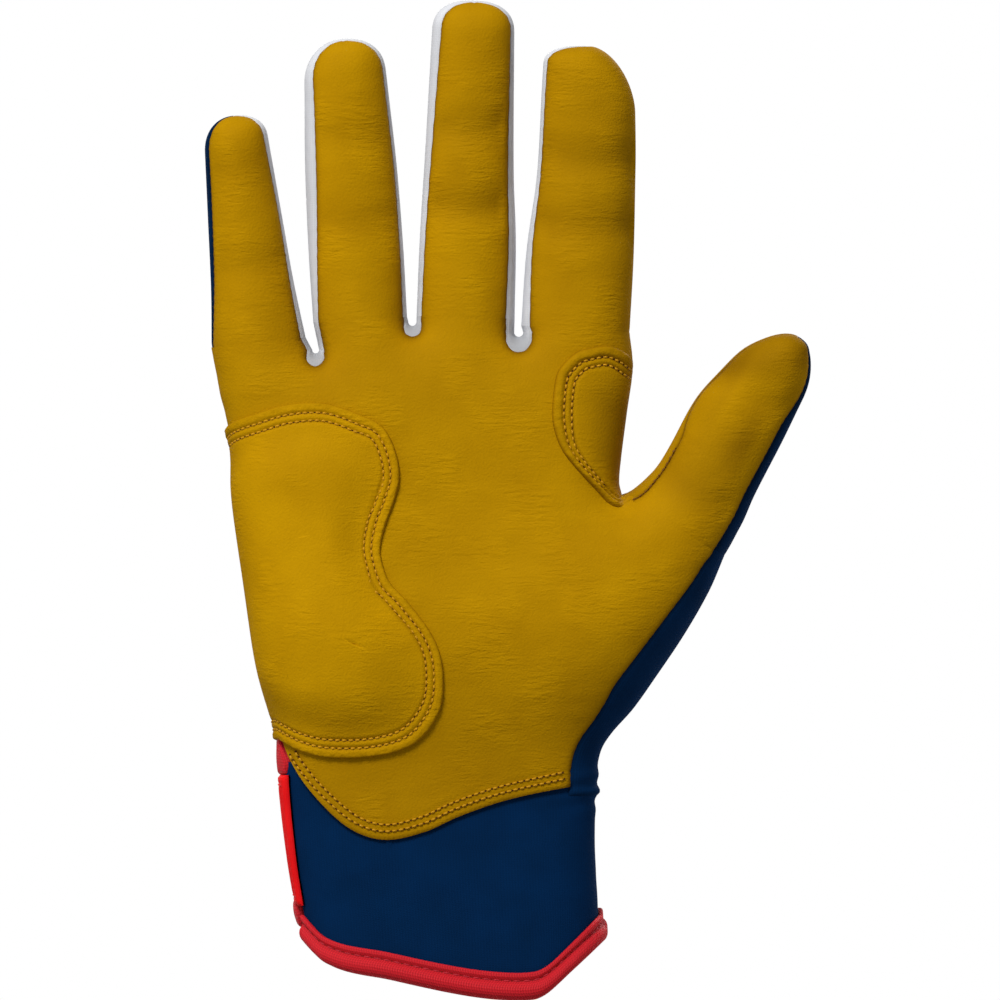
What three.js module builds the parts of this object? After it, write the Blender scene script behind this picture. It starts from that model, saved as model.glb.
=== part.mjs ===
// Right-hand batting glove as worn: palm towards -Y, fingers up +Z, thumb towards +X. Millimetres.
// Each panel is a sheet laid on one hand form. The form swells from the outline of the glove.
import * as THREE from "three";

// Sheets and clearances
const seamGap = 0.3;
const leatherThick = 0.9;
const stretchThick = 1.0;
const fourchetteThick = 0.8;
const cuffThick = 1.6;
const tapeThick = 0.9;
const foamThick = 1.5;
const strapThick = 1.4;
const hookThick = 1.0;
const loopThick = 1.1;
const tabThick = 1.8;

// Depth of the hand form, from its middle plane to the palm and to the back, by height
const palmDepths = [
  [0, 20], [45, 19], [62, 17], [88, 17], [120, 15.5], [160, 13.6], [200, 12.8], [240, 11.4],
];
const backDepths = [
  [0, 18], [45, 17], [62, 15], [88, 14.5], [120, 13.5], [160, 12.8], [200, 12], [240, 10.6],
];
const rollLength = 18;
const palmSwells = [
  { x: 42, z: 88, radius: 24, share: 0.16 },
  { x: -30, z: 84, radius: 26, share: 0.1 },
  { x: 2, z: 116, radius: 22, share: -0.1 },
];

// Fingers. Seams are how far a panel edge lies in from the outline, at the root, mid-length and tip.
const middleX = 4.4;
const pinkyRingGap = 1.7;
const ringMiddleGap = 2.2;
const middleIndexGap = 2.6;
const pinky = {
  crease: 157.1, lean: -6.2, length: 54.7, rootHalf: 11.4, lowHalf: 10.0, midHalf: 8.9, padHalf: 8.0,
  leftTip: 8.2, leftBlunt: 2.2, rightTip: 5.6, rightBlunt: 2.3, curl: 5,
  leftSeam: [0.6, 1.3, 1.2], rightSeam: [1.6, 1.2, 0.9], backSeam: 3.2,
};
const ring = {
  crease: 162.6, lean: -3.44, length: 67.3, rootHalf: 11.3, lowHalf: 11.4, midHalf: 11.0, padHalf: 10.1,
  leftTip: 10, leftBlunt: 2.1, rightTip: 8.2, rightBlunt: 2.4, curl: 5.5,
  leftSeam: [2.0, 2.8, 0.9], rightSeam: [1.7, 1.0, 0.8], backSeam: 3.2,
};
const middle = {
  crease: 163.1, lean: 1.8, length: 75.9, rootHalf: 11.5, lowHalf: 11.3, midHalf: 10.6, padHalf: 10.1,
  leftTip: 7.4, leftBlunt: 2.4, rightTip: 7.4, rightBlunt: 2.4, curl: 6,
  leftSeam: [2.0, 1.4, 1.0], rightSeam: [2.1, 1.9, 0.9], backSeam: 3.2,
};
const index = {
  crease: 160.3, lean: 3.63, length: 67.8, rootHalf: 12.8, lowHalf: 12.6, midHalf: 11.8, padHalf: 11.3,
  leftTip: 5.0, leftBlunt: 2.4, rightTip: 15, rightBlunt: 1.8, curl: 5.5,
  leftSeam: [2.5, 1.4, 1.0], rightSeam: [3.0, 3.0, 2.0], backSeam: 3.2,
};
const thumb = {
  crease: 113.2, lean: 30.5, length: 52.2, rootHalf: 13.2, lowHalf: 11.9, midHalf: 11.6, padHalf: 10.6,
  leftTip: 23.4, leftBlunt: 2.0, rightTip: 13, rightBlunt: 2.2, curl: 6,
  leftSeam: [2.4, 1.2, 0.9], rightSeam: [2.8, 2.0, 1.0], backSeam: 3.6,
};
const thumbX = 54.6;

// Webs between the fingers: the gap's round foot, and how far the leather's notch lies below it
const webs = [
  { left: pinky, right: ring, shift: 1.5, drop: 4.8, radius: 0.8, front: 2.9, back: 3.6 },
  { left: ring, right: middle, shift: 0.15, drop: 1.3, radius: 0.95, front: 2.4, back: 3.4 },
  { left: middle, right: index, shift: 0.2, drop: 2.4, radius: 1.05, front: 3.5, back: 3.6 },
];

// Side edges of hand and cuff, as [height, sideways place]
const ulnarEdge = [
  [-70, -28], [16, -36.4], [22, -37.8], [33, -39.2], [51, -41.2], [60.5, -41.2],
  [69, -42.9], [83, -46.2], [105, -49.0], [126, -52.0], [145, -54.3],
];
const radialEdge = [
  [-70, 45], [16, 39.0], [22, 38.2], [29, 37.3], [40, 37.0], [50, 37.2],
  [55, 36.6], [59.5, 37.4], [63.6, 40.0], [69, 44.8], [76, 49.8], [87, 57.2], [97.5, 62.4],
];
const indexEdge = [[151.7, 44.8], [140, 43.3], [129, 41.9], [123.4, 41.5]];

// Palm leather
const ulnarWraps = [[50, 1.2], [62, 1.3], [80, 4], [138, 4], [156, 0.8]];
const palmSideInset = 3.0;
const scallop = [
  [-42, 62.5], [-37.6, 55], [-31, 47.3], [-22.8, 40.6], [-14.6, 38.2],
  [-5, 40.1], [3.1, 43.7], [13.7, 47.3], [28.6, 50.6],
];

// Navy strip round the thumb side, by height: how far it reaches on to the palm
const thenarFronts = [
  [48, 7.6], [57, 6.2], [63, 5.2], [70, 6.9], [77, 6.7], [88, 5.8], [97, 3.7], [106, 2.8],
];
const thenarBack = 3.6;

// Seam between hand and cuff, by sideways place
const wristSeam = [[-42, 54.6], [24, 53.8], [38, 48.2]];

// Heel pad: right edge as [sideways place, height], and how far its top and foot bow out
const heelRight = [
  [-4.6, 65.5], [-1.1, 71.5], [-0.6, 79], [-3.4, 87.6], [-8.6, 94.3],
  [-13.7, 101], [-15.4, 108], [-12, 120], [-11, 126], [-16.2, 137],
];
const heelLeftFoot = 63.2;
const heelLeftTop = 136.8;
const heelTopBow = 4.8;
const heelFootBow = 5.6;
const heelWrap = 2.4;

// Index patch: its curved edge on the palm as [height, sideways place], and its reach on the back
const patchEdge = [
  [121.2, 38.8], [124.2, 34], [131, 28.6], [140, 26.6], [147, 27.6], [152.5, 31], [155.6, 35], [158.8, 40.5],
];
const patchBack = 4.6;
const patchLift = 0.7;

// Cuff: hem heights across the palm and across the back, the slit and the closure
const hemPalm = [
  [-36, 15.4], [-29, 8], [-13.7, 4.2], [2.6, 0.9], [13, 0], [22.6, 0.6], [28.3, 3.4], [34.6, 9], [38, 15],
];
const hemBack = [[-36, 15.4], [-18, 13], [2, 12.5], [20, 13], [38, 15]];
const tapeHeight = 6.2;
const cuffWrap = 12;
const slitFront = 2.6;
const slitBack = 7;
const slitTop = 62;
const strapLow = 22.2;
const strapHigh = 53.4;
const strapReach = 56;
const loopStart = 24;
const loopEnd = 62;
const hookStart = 29;
const patchMargin = 3;
const tabLength = 9;
const tabMargin = 6;

// Colours
const gold = { color: 0xb5860f, roughness: 0.62 };
const navy = { color: 0x0c2340, roughness: 0.82 };
const white = { color: 0xd3d6d8, roughness: 0.85 };
const crimson = { color: 0xc4263a, roughness: 0.75 };
const red = { color: 0xe21a22, roughness: 0.5 };
const grey = { color: 0x4a4d52, roughness: 0.9 };

// A smooth curve through [place, value] pairs, straight beyond its ends.
function curveThrough(points) {
  const last = points.length - 1;
  const slopes = points.map((point, i) => {
    const before = points[Math.max(i - 1, 0)];
    const after = points[Math.min(i + 1, last)];
    return (after[1] - before[1]) / (after[0] - before[0]);
  });
  return (t) => {
    if (t <= points[0][0]) return points[0][1] + slopes[0] * (t - points[0][0]);
    if (t >= points[last][0]) return points[last][1] + slopes[last] * (t - points[last][0]);
    const i = points.findIndex((point) => point[0] > t) - 1;
    const span = points[i + 1][0] - points[i][0];
    const k = (t - points[i][0]) / span;
    const k2 = k * k;
    const k3 = k2 * k;
    return (2 * k3 - 3 * k2 + 1) * points[i][1] + (k3 - 2 * k2 + k) * span * slopes[i]
      + (3 * k2 - 2 * k3) * points[i + 1][1] + (k3 - k2) * span * slopes[i + 1];
  };
}

const mix = (a, b, t) => a + (b - a) * t;
const steps = (from, to, count) => Array.from({ length: count + 1 }, (_, i) => mix(from, to, i / count));

// Fingers stand side by side, each set off from its neighbour by both half widths and the gap.
middle.x = middleX;
ring.x = middle.x - middle.rootHalf - ringMiddleGap - ring.rootHalf;
pinky.x = ring.x - ring.rootHalf - pinkyRingGap - pinky.rootHalf;
index.x = middle.x + middle.rootHalf + middleIndexGap + index.rootHalf;
thumb.x = thumbX;

const shaftSteps = 6;
const tipSteps = 4;
const tipEnd = THREE.MathUtils.degToRad(88.5);

// The place q across and s along a finger, in the plane of the outline.
function onFinger(finger, q, s) {
  return {
    x: finger.x + finger.across.x * q + finger.axis.x * s,
    z: finger.crease + finger.across.z * q + finger.axis.z * s,
  };
}

// Outline places up one side of a finger, each with the way in and the seams' distances in.
function sideStations(finger, side) {
  const tip = side < 0 ? finger.leftTip : finger.rightTip;
  const power = 2 / (side < 0 ? finger.leftBlunt : finger.rightBlunt);
  const seams = side < 0 ? finger.leftSeam : finger.rightSeam;
  const seam = curveThrough([[0, seams[0]], [0.5, seams[1]], [1, seams[2]]]);
  const shaft = finger.length - tip;
  const places = steps(seamGap / 2, shaft, shaftSteps).map((s) => [finger.half(s), s, 0]);
  for (const angle of steps(0, tipEnd, tipSteps).slice(1)) {
    const s = shaft + tip * Math.sin(angle) ** power;
    places.push([finger.half(s) * Math.cos(angle) ** power, s, angle]);
  }
  return places.map(([half, s, angle]) => ({
    ...onFinger(finger, side * half, s),
    inX: -side * Math.cos(angle) * finger.across.x - Math.sin(angle) * finger.axis.x,
    inZ: -side * Math.cos(angle) * finger.across.z - Math.sin(angle) * finger.axis.z,
    front: seam(s / finger.length),
    back: mix(finger.backSeam, Math.min(finger.backSeam, 1.2), (s / finger.length) ** 4),
  }));
}

for (const finger of [pinky, ring, middle, index, thumb]) {
  const lean = THREE.MathUtils.degToRad(finger.lean);
  finger.axis = { x: Math.sin(lean), z: Math.cos(lean) };
  finger.across = { x: Math.cos(lean), z: -Math.sin(lean) };
  const widths = curveThrough([
    [0, finger.rootHalf], [0.25, finger.lowHalf], [0.55, finger.midHalf], [0.8, finger.padHalf],
  ]);
  finger.half = (s) => widths(s / finger.length);
  finger.left = sideStations(finger, -1);
  finger.right = sideStations(finger, 1);
}

// Outline places down one finger, round the foot of the gap and up the next.
function webStations(web) {
  const from = onFinger(web.left, web.left.half(0), -seamGap / 2);
  const to = onFinger(web.right, -web.right.half(0), -seamGap / 2);
  const centreX = (from.x + to.x) / 2 + web.shift;
  const centreZ = (from.z + to.z) / 2 - web.drop;
  const foot = steps(Math.PI, 2 * Math.PI, 4).map((angle) => ({
    x: centreX + web.radius * Math.cos(angle),
    z: centreZ + web.radius * Math.sin(angle),
    inX: Math.cos(angle),
    inZ: Math.sin(angle),
    front: web.front,
    back: web.back,
  }));
  const start = {
    ...from, inX: -web.left.across.x, inZ: -web.left.across.z,
    front: web.left.rightSeam[0], back: web.left.backSeam,
  };
  const end = {
    ...to, inX: web.right.across.x, inZ: web.right.across.z,
    front: web.right.leftSeam[0], back: web.right.backSeam,
  };
  foot[0].front = mix(start.front, web.front, 0.4);
  foot[1].front = mix(start.front, web.front, 0.8);
  foot[3].front = mix(end.front, web.front, 0.8);
  foot[4].front = mix(end.front, web.front, 0.4);
  return [start, ...foot, end];
}
for (const web of webs) web.stations = webStations(web);

// Side edges run up to the fingers' roots.
const pinkyRoot = onFinger(pinky, -pinky.half(0), 0);
const indexRoot = onFinger(index, index.half(0), 0);
const thumbInner = onFinger(thumb, -thumb.half(0), 0);
const thumbOuter = onFinger(thumb, thumb.half(0), 0);
const ulnar = curveThrough([...ulnarEdge, [pinkyRoot.z, pinkyRoot.x]]);
const radial = curveThrough([...radialEdge, [thumbOuter.z, thumbOuter.x]]);
const indexSide = curveThrough([
  [thumbInner.z, thumbInner.x], ...indexEdge.slice().reverse(), [indexRoot.z, indexRoot.x],
]);

// The outline as one open line, from below the cuff on the ulnar side round to the radial side.
const edgeLine = (edge, from, to, count) => steps(from, to, count).map((z) => ({ x: edge(z), z }));
const outline = [
  ...edgeLine(ulnar, -70, pinkyRoot.z, 34),
  ...pinky.left, ...pinky.right.slice().reverse(), ...webs[0].stations,
  ...ring.left, ...ring.right.slice().reverse(), ...webs[1].stations,
  ...middle.left, ...middle.right.slice().reverse(), ...webs[2].stations,
  ...index.left, ...index.right.slice().reverse(),
  ...edgeLine(indexSide, indexRoot.z, thumbInner.z, 10),
  ...thumb.left, ...thumb.right.slice().reverse(),
  ...edgeLine(radial, thumbOuter.z, -70, 40),
];
const segments = outline.slice(1).map((end, i) => {
  const start = outline[i];
  const length = Math.hypot(end.x - start.x, end.z - start.z);
  return { x: start.x, z: start.z, length, dx: (end.x - start.x) / length, dz: (end.z - start.z) / length };
}).filter((segment) => segment.length > 1e-6);

// Smooth distance in from the outline: the sum over all segments of one over distance cubed.
function reach(x, z) {
  let sum = 0;
  for (const segment of segments) {
    const px = x - segment.x;
    const pz = z - segment.z;
    const along = px * segment.dx + pz * segment.dz;
    const away = Math.max((px * segment.dz - pz * segment.dx) ** 2, 1e-9);
    const rest = segment.length - along;
    sum += (rest / Math.sqrt(away + rest * rest) + along / Math.sqrt(away + along * along)) / away;
  }
  return Math.sqrt(2 / sum);
}

const palmDepth = curveThrough(palmDepths);
const backDepth = curveThrough(backDepths);

// Square of the form's thickness on one face: it rises from nothing at the outline to the full depth.
function swell(x, z, face) {
  let depth = face < 0 ? palmDepth(z) : backDepth(z);
  if (face < 0) {
    for (const bulge of palmSwells) {
      const away = ((x - bulge.x) ** 2 + (z - bulge.z) ** 2) / bulge.radius ** 2;
      depth *= 1 + bulge.share * Math.exp(-away);
    }
  }
  return depth * depth * (1 - Math.exp((-2 * reach(x, z)) / rollLength));
}

// A place on the form, with its way out. Face -1 is the palm side, 1 the back. Fingers curl to the palm.
// On the outline itself, inX and inZ say which way is in.
const edgeProbe = 0.4;
function skin(x, z, face, finger, inX = 0, inZ = 0) {
  const h = 0.004;
  const edge = inX !== 0 || inZ !== 0;
  const px = x + inX * edgeProbe;
  const pz = z + inZ * edgeProbe;
  const height = edge ? 0 : Math.sqrt(swell(x, z, face));
  const slopeX = (swell(px + h, pz, face) - swell(px - h, pz, face)) / (4 * h);
  const slopeZ = (swell(px, pz + h, face) - swell(px, pz - h, face)) / (4 * h);
  let bend = 0;
  let tilt = 0;
  if (finger) {
    const s = Math.max((x - finger.x) * finger.axis.x + (z - finger.crease) * finger.axis.z, 0);
    bend = -finger.curl * (s / finger.length) ** 2;
    tilt = (-2 * finger.curl * s) / finger.length ** 2;
  }
  const tiltX = finger ? tilt * finger.axis.x : 0;
  const tiltZ = finger ? tilt * finger.axis.z : 0;
  const out = new THREE.Vector3(
    -slopeX - face * tiltX * height, face * height, -slopeZ - face * tiltZ * height,
  );
  return { place: new THREE.Vector3(x, bend + face * height, z), out: out.normalize() };
}

// A place in from an outline station. e runs from -1 at the palm seam over the outline to 1 at the back.
function inward(station, e, finger, trim = 0) {
  if (e === 0) return skin(station.x, station.z, 1, finger, station.inX, station.inZ);
  const way = ((e < 0 ? station.front : station.back) + trim) * e * e;
  return skin(station.x + station.inX * way, station.z + station.inZ * way, e < 0 ? -1 : 1, finger);
}

// A closed solid between two offsets of a grid of skin places. Offsets are numbers or take (row, column).
function sheet(rows, outer, inner) {
  const high = rows.length;
  const wide = rows[0].length;
  const offset = (value, i, j) => (typeof value === "function" ? value(i, j) : value);
  const positions = [];
  for (const layer of [outer, inner]) {
    rows.forEach((row, i) => row.forEach((spot, j) => {
      const p = spot.place.clone().addScaledVector(spot.out, offset(layer, i, j));
      positions.push(p.x, p.y, p.z);
    }));
  }
  const at = (layer, i, j) => layer * high * wide + i * wide + j;
  const faces = [];
  const quad = (a, b, c, d) => faces.push(a, b, c, a, c, d);
  for (let i = 0; i < high - 1; i += 1) {
    for (let j = 0; j < wide - 1; j += 1) {
      quad(at(0, i, j), at(0, i, j + 1), at(0, i + 1, j + 1), at(0, i + 1, j));
      quad(at(1, i, j), at(1, i + 1, j), at(1, i + 1, j + 1), at(1, i, j + 1));
    }
    quad(at(0, i, 0), at(0, i + 1, 0), at(1, i + 1, 0), at(1, i, 0));
    quad(at(0, i + 1, wide - 1), at(0, i, wide - 1), at(1, i, wide - 1), at(1, i + 1, wide - 1));
  }
  for (let j = 0; j < wide - 1; j += 1) {
    quad(at(0, 0, j + 1), at(0, 0, j), at(1, 0, j), at(1, 0, j + 1));
    quad(at(0, high - 1, j), at(0, high - 1, j + 1), at(1, high - 1, j + 1), at(1, high - 1, j));
  }
  return solid(positions, faces);
}

// A mesh facing out whichever way its faces were listed.
function solid(positions, faces) {
  const corner = (k) => new THREE.Vector3(positions[3 * k], positions[3 * k + 1], positions[3 * k + 2]);
  let volume = 0;
  for (let f = 0; f < faces.length; f += 3) {
    volume += corner(faces[f]).dot(corner(faces[f + 1]).cross(corner(faces[f + 2])));
  }
  const listed = volume < 0 ? faces.slice().reverse() : faces;
  const geometry = new THREE.BufferGeometry();
  geometry.setAttribute("position", new THREE.Float32BufferAttribute(positions, 3));
  geometry.setIndex(listed);
  return geometry;
}

const glove = new THREE.Group();
glove.name = "batting_glove";
function add(name, geometry, look) {
  geometry.computeVertexNormals();
  const mesh = new THREE.Mesh(geometry, new THREE.MeshStandardMaterial({ metalness: 0, ...look }));
  mesh.name = name;
  glove.add(mesh);
}

// Finger stalls: a palm panel, a back panel and side strips, all with rows at the same stations.
const acrossSteps = 6;
const overSide = [-1, -0.5, 0, 0.5, 1];
const trims = { strip: -seamGap / 2, panel: seamGap / 2 };

function sideStrip(stations, finger) {
  return stations.map((station) => overSide.map((e) => inward(station, e, finger, trims.strip)));
}

function fingerPanel(finger, face, wrapSide) {
  return finger.left.map((left, i) => {
    const right = finger.right[i];
    const ends = [left, right].map((station, k) => {
      const wraps = wrapSide === (k === 0 ? -1 : 1);
      const far = (face < 0 ? station.front : station.back) + (wraps ? 0 : trims.panel);
      return { x: station.x + station.inX * far, z: station.z + station.inZ * far };
    });
    const row = steps(0, 1, acrossSteps).map((t) => (
      skin(mix(ends[0].x, ends[1].x, t), mix(ends[0].z, ends[1].z, t), face, finger)
    ));
    const turned = overSide.slice(1).map((e) => (
      inward(wrapSide < 0 ? left : right, -face * e, finger, e === 1 ? trims.strip : 0)
    ));
    const near = inward(wrapSide < 0 ? left : right, face * 0.5, finger);
    if (wrapSide > 0) return [...row, near, ...turned];
    if (wrapSide < 0) return [...turned.reverse(), near, ...row];
    return row;
  });
}

add("pinky_palm", sheet(fingerPanel(pinky, -1, 0), 0, -leatherThick), gold);
add("pinky_back", sheet(fingerPanel(pinky, 1, -1), 0, -stretchThick), navy);
add("pinky_fourchette", sheet(sideStrip(pinky.right, pinky), 0, -fourchetteThick), white);
add("ring_palm", sheet(fingerPanel(ring, -1, 0), 0, -leatherThick), gold);
add("ring_back", sheet(fingerPanel(ring, 1, 0), 0, -stretchThick), navy);
add("ring_fourchette_ulnar", sheet(sideStrip(ring.left, ring), 0, -fourchetteThick), white);
add("ring_fourchette_radial", sheet(sideStrip(ring.right, ring), 0, -fourchetteThick), white);
add("middle_palm", sheet(fingerPanel(middle, -1, 0), 0, -leatherThick), gold);
add("middle_back", sheet(fingerPanel(middle, 1, 0), 0, -stretchThick), navy);
add("middle_fourchette_ulnar", sheet(sideStrip(middle.left, middle), 0, -fourchetteThick), white);
add("middle_fourchette_radial", sheet(sideStrip(middle.right, middle), 0, -fourchetteThick), white);
add("index_palm", sheet(fingerPanel(index, -1, 1), 0, -leatherThick), gold);
add("index_back", sheet(fingerPanel(index, 1, 0), 0, -stretchThick), navy);
add("index_fourchette", sheet(sideStrip(index.left, index), 0, -fourchetteThick), white);
add("thumb_palm", sheet(fingerPanel(thumb, -1, 0), 0, -leatherThick), gold);
add("thumb_back", sheet(fingerPanel(thumb, 1, 1), 0, -stretchThick), navy);
add("thumb_gusset", sheet(sideStrip(thumb.left, thumb), 0, -leatherThick), gold);

// Webs between the fingers
const webNames = ["web_pinky_ring", "web_ring_middle", "web_middle_index"];
webs.forEach((web, i) => add(webNames[i], sheet(sideStrip(web.stations), 0, -fourchetteThick), white));

// Navy strip up the thumb side of the hand, square to the edge and ending at the thumb's crease
const thenarFront = curveThrough(thenarFronts);
const seamAt = curveThrough(wristSeam);
const thenarSteps = 7;
const thenarStart = seamAt(wristSeam[2][0]) + seamGap;
const thenar = steps(thenarStart, thumbOuter.z, thenarSteps).map((z, i) => {
  const slope = (radial(z + 0.2) - radial(z - 0.2)) / 0.4;
  const length = Math.hypot(1, slope);
  const level = i === 0;
  return {
    x: radial(z),
    z,
    inX: level ? -1 : -1 / length,
    inZ: level ? 0 : slope / length,
    front: thenarFront(z),
    back: thenarBack,
  };
});
const crease = onFinger(thumb, thumb.half(0), -seamGap / 2);
Object.assign(thenar[thenarSteps], { ...crease, inX: -thumb.across.x, inZ: -thumb.across.z });
add("thenar_side", sheet(sideStrip(thenar), 0, -stretchThick), navy);

// Straight pieces between listed places: x where the line passes height z.
function lineAt(places, z) {
  const rising = places[places.length - 1].z > places[0].z ? places : places.slice().reverse();
  let i = rising.findIndex((place) => place.z > z) - 1;
  if (i === -2) i = rising.length - 2;
  if (i < 0) i = 0;
  const a = rising[i];
  const b = rising[i + 1];
  return mix(a.x, b.x, (z - a.z) / (b.z - a.z));
}

// Top edge of palm or back: along each crease and round each notch, left to right.
function rootEdge(face) {
  const places = [];
  const seamOf = (finger, side) => {
    if (face > 0) return finger.backSeam;
    return side < 0 ? finger.leftSeam[0] : finger.rightSeam[0];
  };
  const row = [pinky, ring, middle, index];
  row.forEach((finger, k) => {
    const from = -finger.half(0) + (k === 0 ? 0 : seamOf(finger, -1) + trims.panel);
    const to = finger.half(0) - (k === 3 ? 0 : seamOf(finger, 1) + trims.panel);
    const inner = steps(from, to, 4).map((q) => onFinger(finger, q, -seamGap / 2));
    places.push(...inner.slice(k === 0 ? 0 : 1, k === 3 ? 5 : 4));
    if (k < 3) {
      places.push(...webs[k].stations.map((station) => {
        const way = (face < 0 ? station.front : station.back) + trims.panel;
        return { x: station.x + station.inX * way, z: station.z + station.inZ * way };
      }));
    }
  });
  return places;
}

// The way along the thumb's crease, just on the hand's side of it
const creaseInner = onFinger(thumb, -thumb.half(0), -seamGap / 2);
const creaseRows = 2;
const indexRows = 6;
function handRight(face) {
  const inset = face < 0 ? palmSideInset : patchBack + trims.panel;
  const sides = thenar.map((station) => {
    const way = (face < 0 ? station.front : station.back) + trims.panel;
    return { x: station.x + station.inX * way, z: station.z + station.inZ * way };
  });
  const top = onFinger(index, index.half(0), -seamGap / 2);
  const edge = edgeLine(indexSide, creaseInner.z + 1.2, top.z, 8);
  const inner = edge.map((place) => ({ x: place.x - inset, z: place.z }));
  return { sides, corner: creaseInner, inner };
}

// Palm or back of the hand: a grid between its edges. Height comes from all four edges, and the
// sideways place is a share of the way from the ulnar edge to the right edge at that height.
function handPanel(face, leftOf, foot, footLeft) {
  const right = handRight(face);
  const line = [...right.sides, right.corner, ...right.inner];
  const end = right.sides[right.sides.length - 1];
  const first = right.sides[0];
  const top = right.inner[right.inner.length - 1];
  const rightRows = [
    ...right.sides.map((place) => place.z),
    ...steps(end.z, right.corner.z, creaseRows).slice(1),
    ...steps(right.corner.z, top.z, indexRows).slice(1),
  ];
  const count = rightRows.length - 1;
  const topLeft = onFinger(pinky, -pinky.half(0), -seamGap / 2);
  const edge = rootEdge(face).filter((place) => place.x > leftOf(topLeft.z) + 0.4 && place.x < top.x - 0.4);
  const crown = [{ x: leftOf(topLeft.z), z: topLeft.z }, ...edge, top];
  const columns = crown.length - 1;
  const base = steps(leftOf(footLeft), first.x, columns).map((x) => ({ x, z: foot(x) }));
  base[0].z = footLeft;
  base[columns].z = first.z;
  const share = (place) => (place.x - leftOf(place.z)) / (lineAt(line, place.z) - leftOf(place.z));
  const topShares = crown.map(share);
  const footShares = base.map(share);
  return rightRows.map((rightZ, i) => {
    const v = i / count;
    const leftZ = mix(footLeft, topLeft.z, v);
    const spots = crown.map((place, j) => {
      const u = j / columns;
      const z = mix(leftZ, rightZ, u) + mix(base[j].z, place.z, v)
        - mix(mix(base[0].z, base[columns].z, u), mix(crown[0].z, crown[columns].z, u), v);
      const left = leftOf(z);
      const x = left + mix(footShares[j], topShares[j], v) * (lineAt(line, z) - left);
      return skin(x, z, face);
    });
    return { leftZ, spots };
  });
}

// Palm leather: it turns over the ulnar edge on to the back.
const ulnarWrap = curveThrough(ulnarWraps);
const scallopAt = curveThrough(scallop);
const overUlnar = [-1, -0.5, 0, 0.5];
function ulnarTurn(z, wrap, list) {
  return list.map((e) => skin(ulnar(z) + wrap * e * e, z, e < 0 ? 1 : -1, null, e === 0 ? 1 : 0));
}
const palmRows = handPanel(-1, (z) => ulnar(z) + ulnarWrap(z), scallopAt, slitTop + seamGap);
const palmGrid = palmRows.map((row) => [
  ...ulnarTurn(row.leftZ, ulnarWrap(row.leftZ), overUlnar), ...row.spots,
]);
add("palm_leather", sheet(palmGrid, 0, -leatherThick), gold);

const backFoot = (x) => seamAt(x) + seamGap;
const backRows = handPanel(1, (z) => ulnar(z) + ulnarWrap(z) + seamGap, backFoot, backFoot(wristSeam[0][0]));
add("back_panel", sheet(backRows.map((row) => row.spots), 0, -stretchThick), navy);

// Heel pad: foam under a second leather, which drops to the palm round its border
const heelRows = 8;
const heelColumns = 7;
const heelX = curveThrough(heelRight.map(([x, z]) => [z, x]));
const heelFootRight = heelRight[0][1];
const heelTopRight = heelRight[heelRight.length - 1][1];
const heelGrid = steps(0, 1, heelRows).map((v) => {
  const leftZ = mix(heelLeftFoot, heelLeftTop, v);
  const rightZ = mix(heelFootRight, heelTopRight, v);
  const turn = ulnarTurn(leftZ, heelWrap, overUlnar);
  const spots = steps(0, 1, heelColumns).map((u) => {
    const bow = 4 * u * (1 - u);
    const z = mix(leftZ, rightZ, u) + bow * mix(-heelFootBow, heelTopBow, v);
    return skin(mix(ulnar(z) + heelWrap, heelX(rightZ), u), z, -1);
  });
  return [...turn, ...spots];
});
const heelLast = heelGrid[0].length - 1;
const foamStart = overUlnar.length + 1;
const onFoam = (i, j) => i > 0 && i < heelRows && j >= foamStart && j < heelLast;
const heelLift = (i, j) => (onFoam(i, j) ? patchLift + foamThick + seamGap : patchLift);
const foamGrid = heelGrid.slice(1, heelRows).map((row) => row.slice(foamStart, heelLast));
add("heel_pad_foam", sheet(foamGrid, patchLift + foamThick, patchLift), grey);
add("heel_pad_overlay", sheet(heelGrid, (i, j) => heelLift(i, j) + leatherThick, heelLift), gold);

// Index patch: from its curved edge on the palm round the index side on to the back
const patchX = curveThrough(patchEdge);
const patchGrid = steps(patchEdge[0][0], patchEdge[patchEdge.length - 1][0], 8).map((z) => {
  const side = indexSide(z);
  const front = steps(patchX(z), side - patchBack * 0.25, 5).map((x) => skin(x, z, -1));
  const turn = [0, 0.5, 1].map((e) => skin(side - patchBack * e * e, z, 1, null, e === 0 ? -1 : 0));
  return [...front, ...turn];
});
add("index_patch", sheet(patchGrid, patchLift + leatherThick, patchLift), gold);

// Cuff. It lies under the palm leather's scalloped edge.
const cuffSink = leatherThick + seamGap;
const hemOnPalm = curveThrough(hemPalm);
const hemOnBack = curveThrough(hemBack);
const hemAt = (x, face) => (face < 0 ? hemOnPalm(x) : hemOnBack(x));
// A column of the cuff: ways from the ulnar edge are positive, from the radial edge negative.
const radialTurn = [-8.5, -5.4, -2.8, -0.8];
const radialWay = -1e-6;
const cuffMiddle = steps(0, 1, 10).slice(1, 10);
const cuffPalmColumns = [
  ...[slitFront, slitFront + 2.5].map((way) => ({ way, face: -1 })),
  ...cuffMiddle.map((share) => ({ share, face: -1 })),
  ...radialTurn.map((way) => ({ way, face: -1 })),
  { way: radialWay, face: 1 },
  ...radialTurn.slice().reverse().map((way) => ({ way, face: 1 })),
  { way: -cuffWrap, face: 1 },
];
const cuffBackColumns = [
  { way: -cuffWrap - seamGap, face: 1 },
  ...cuffMiddle.slice().reverse().map((share) => ({ share, face: 1 })),
  ...[slitBack + 3, slitBack].map((way) => ({ way, face: 1 })),
];
function columnX(column, z) {
  if (column.way === undefined) return mix(ulnar(z) + 12, radial(z) - 14, column.share);
  return column.way >= 0 ? ulnar(z) + column.way : radial(z) + column.way;
}
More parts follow.
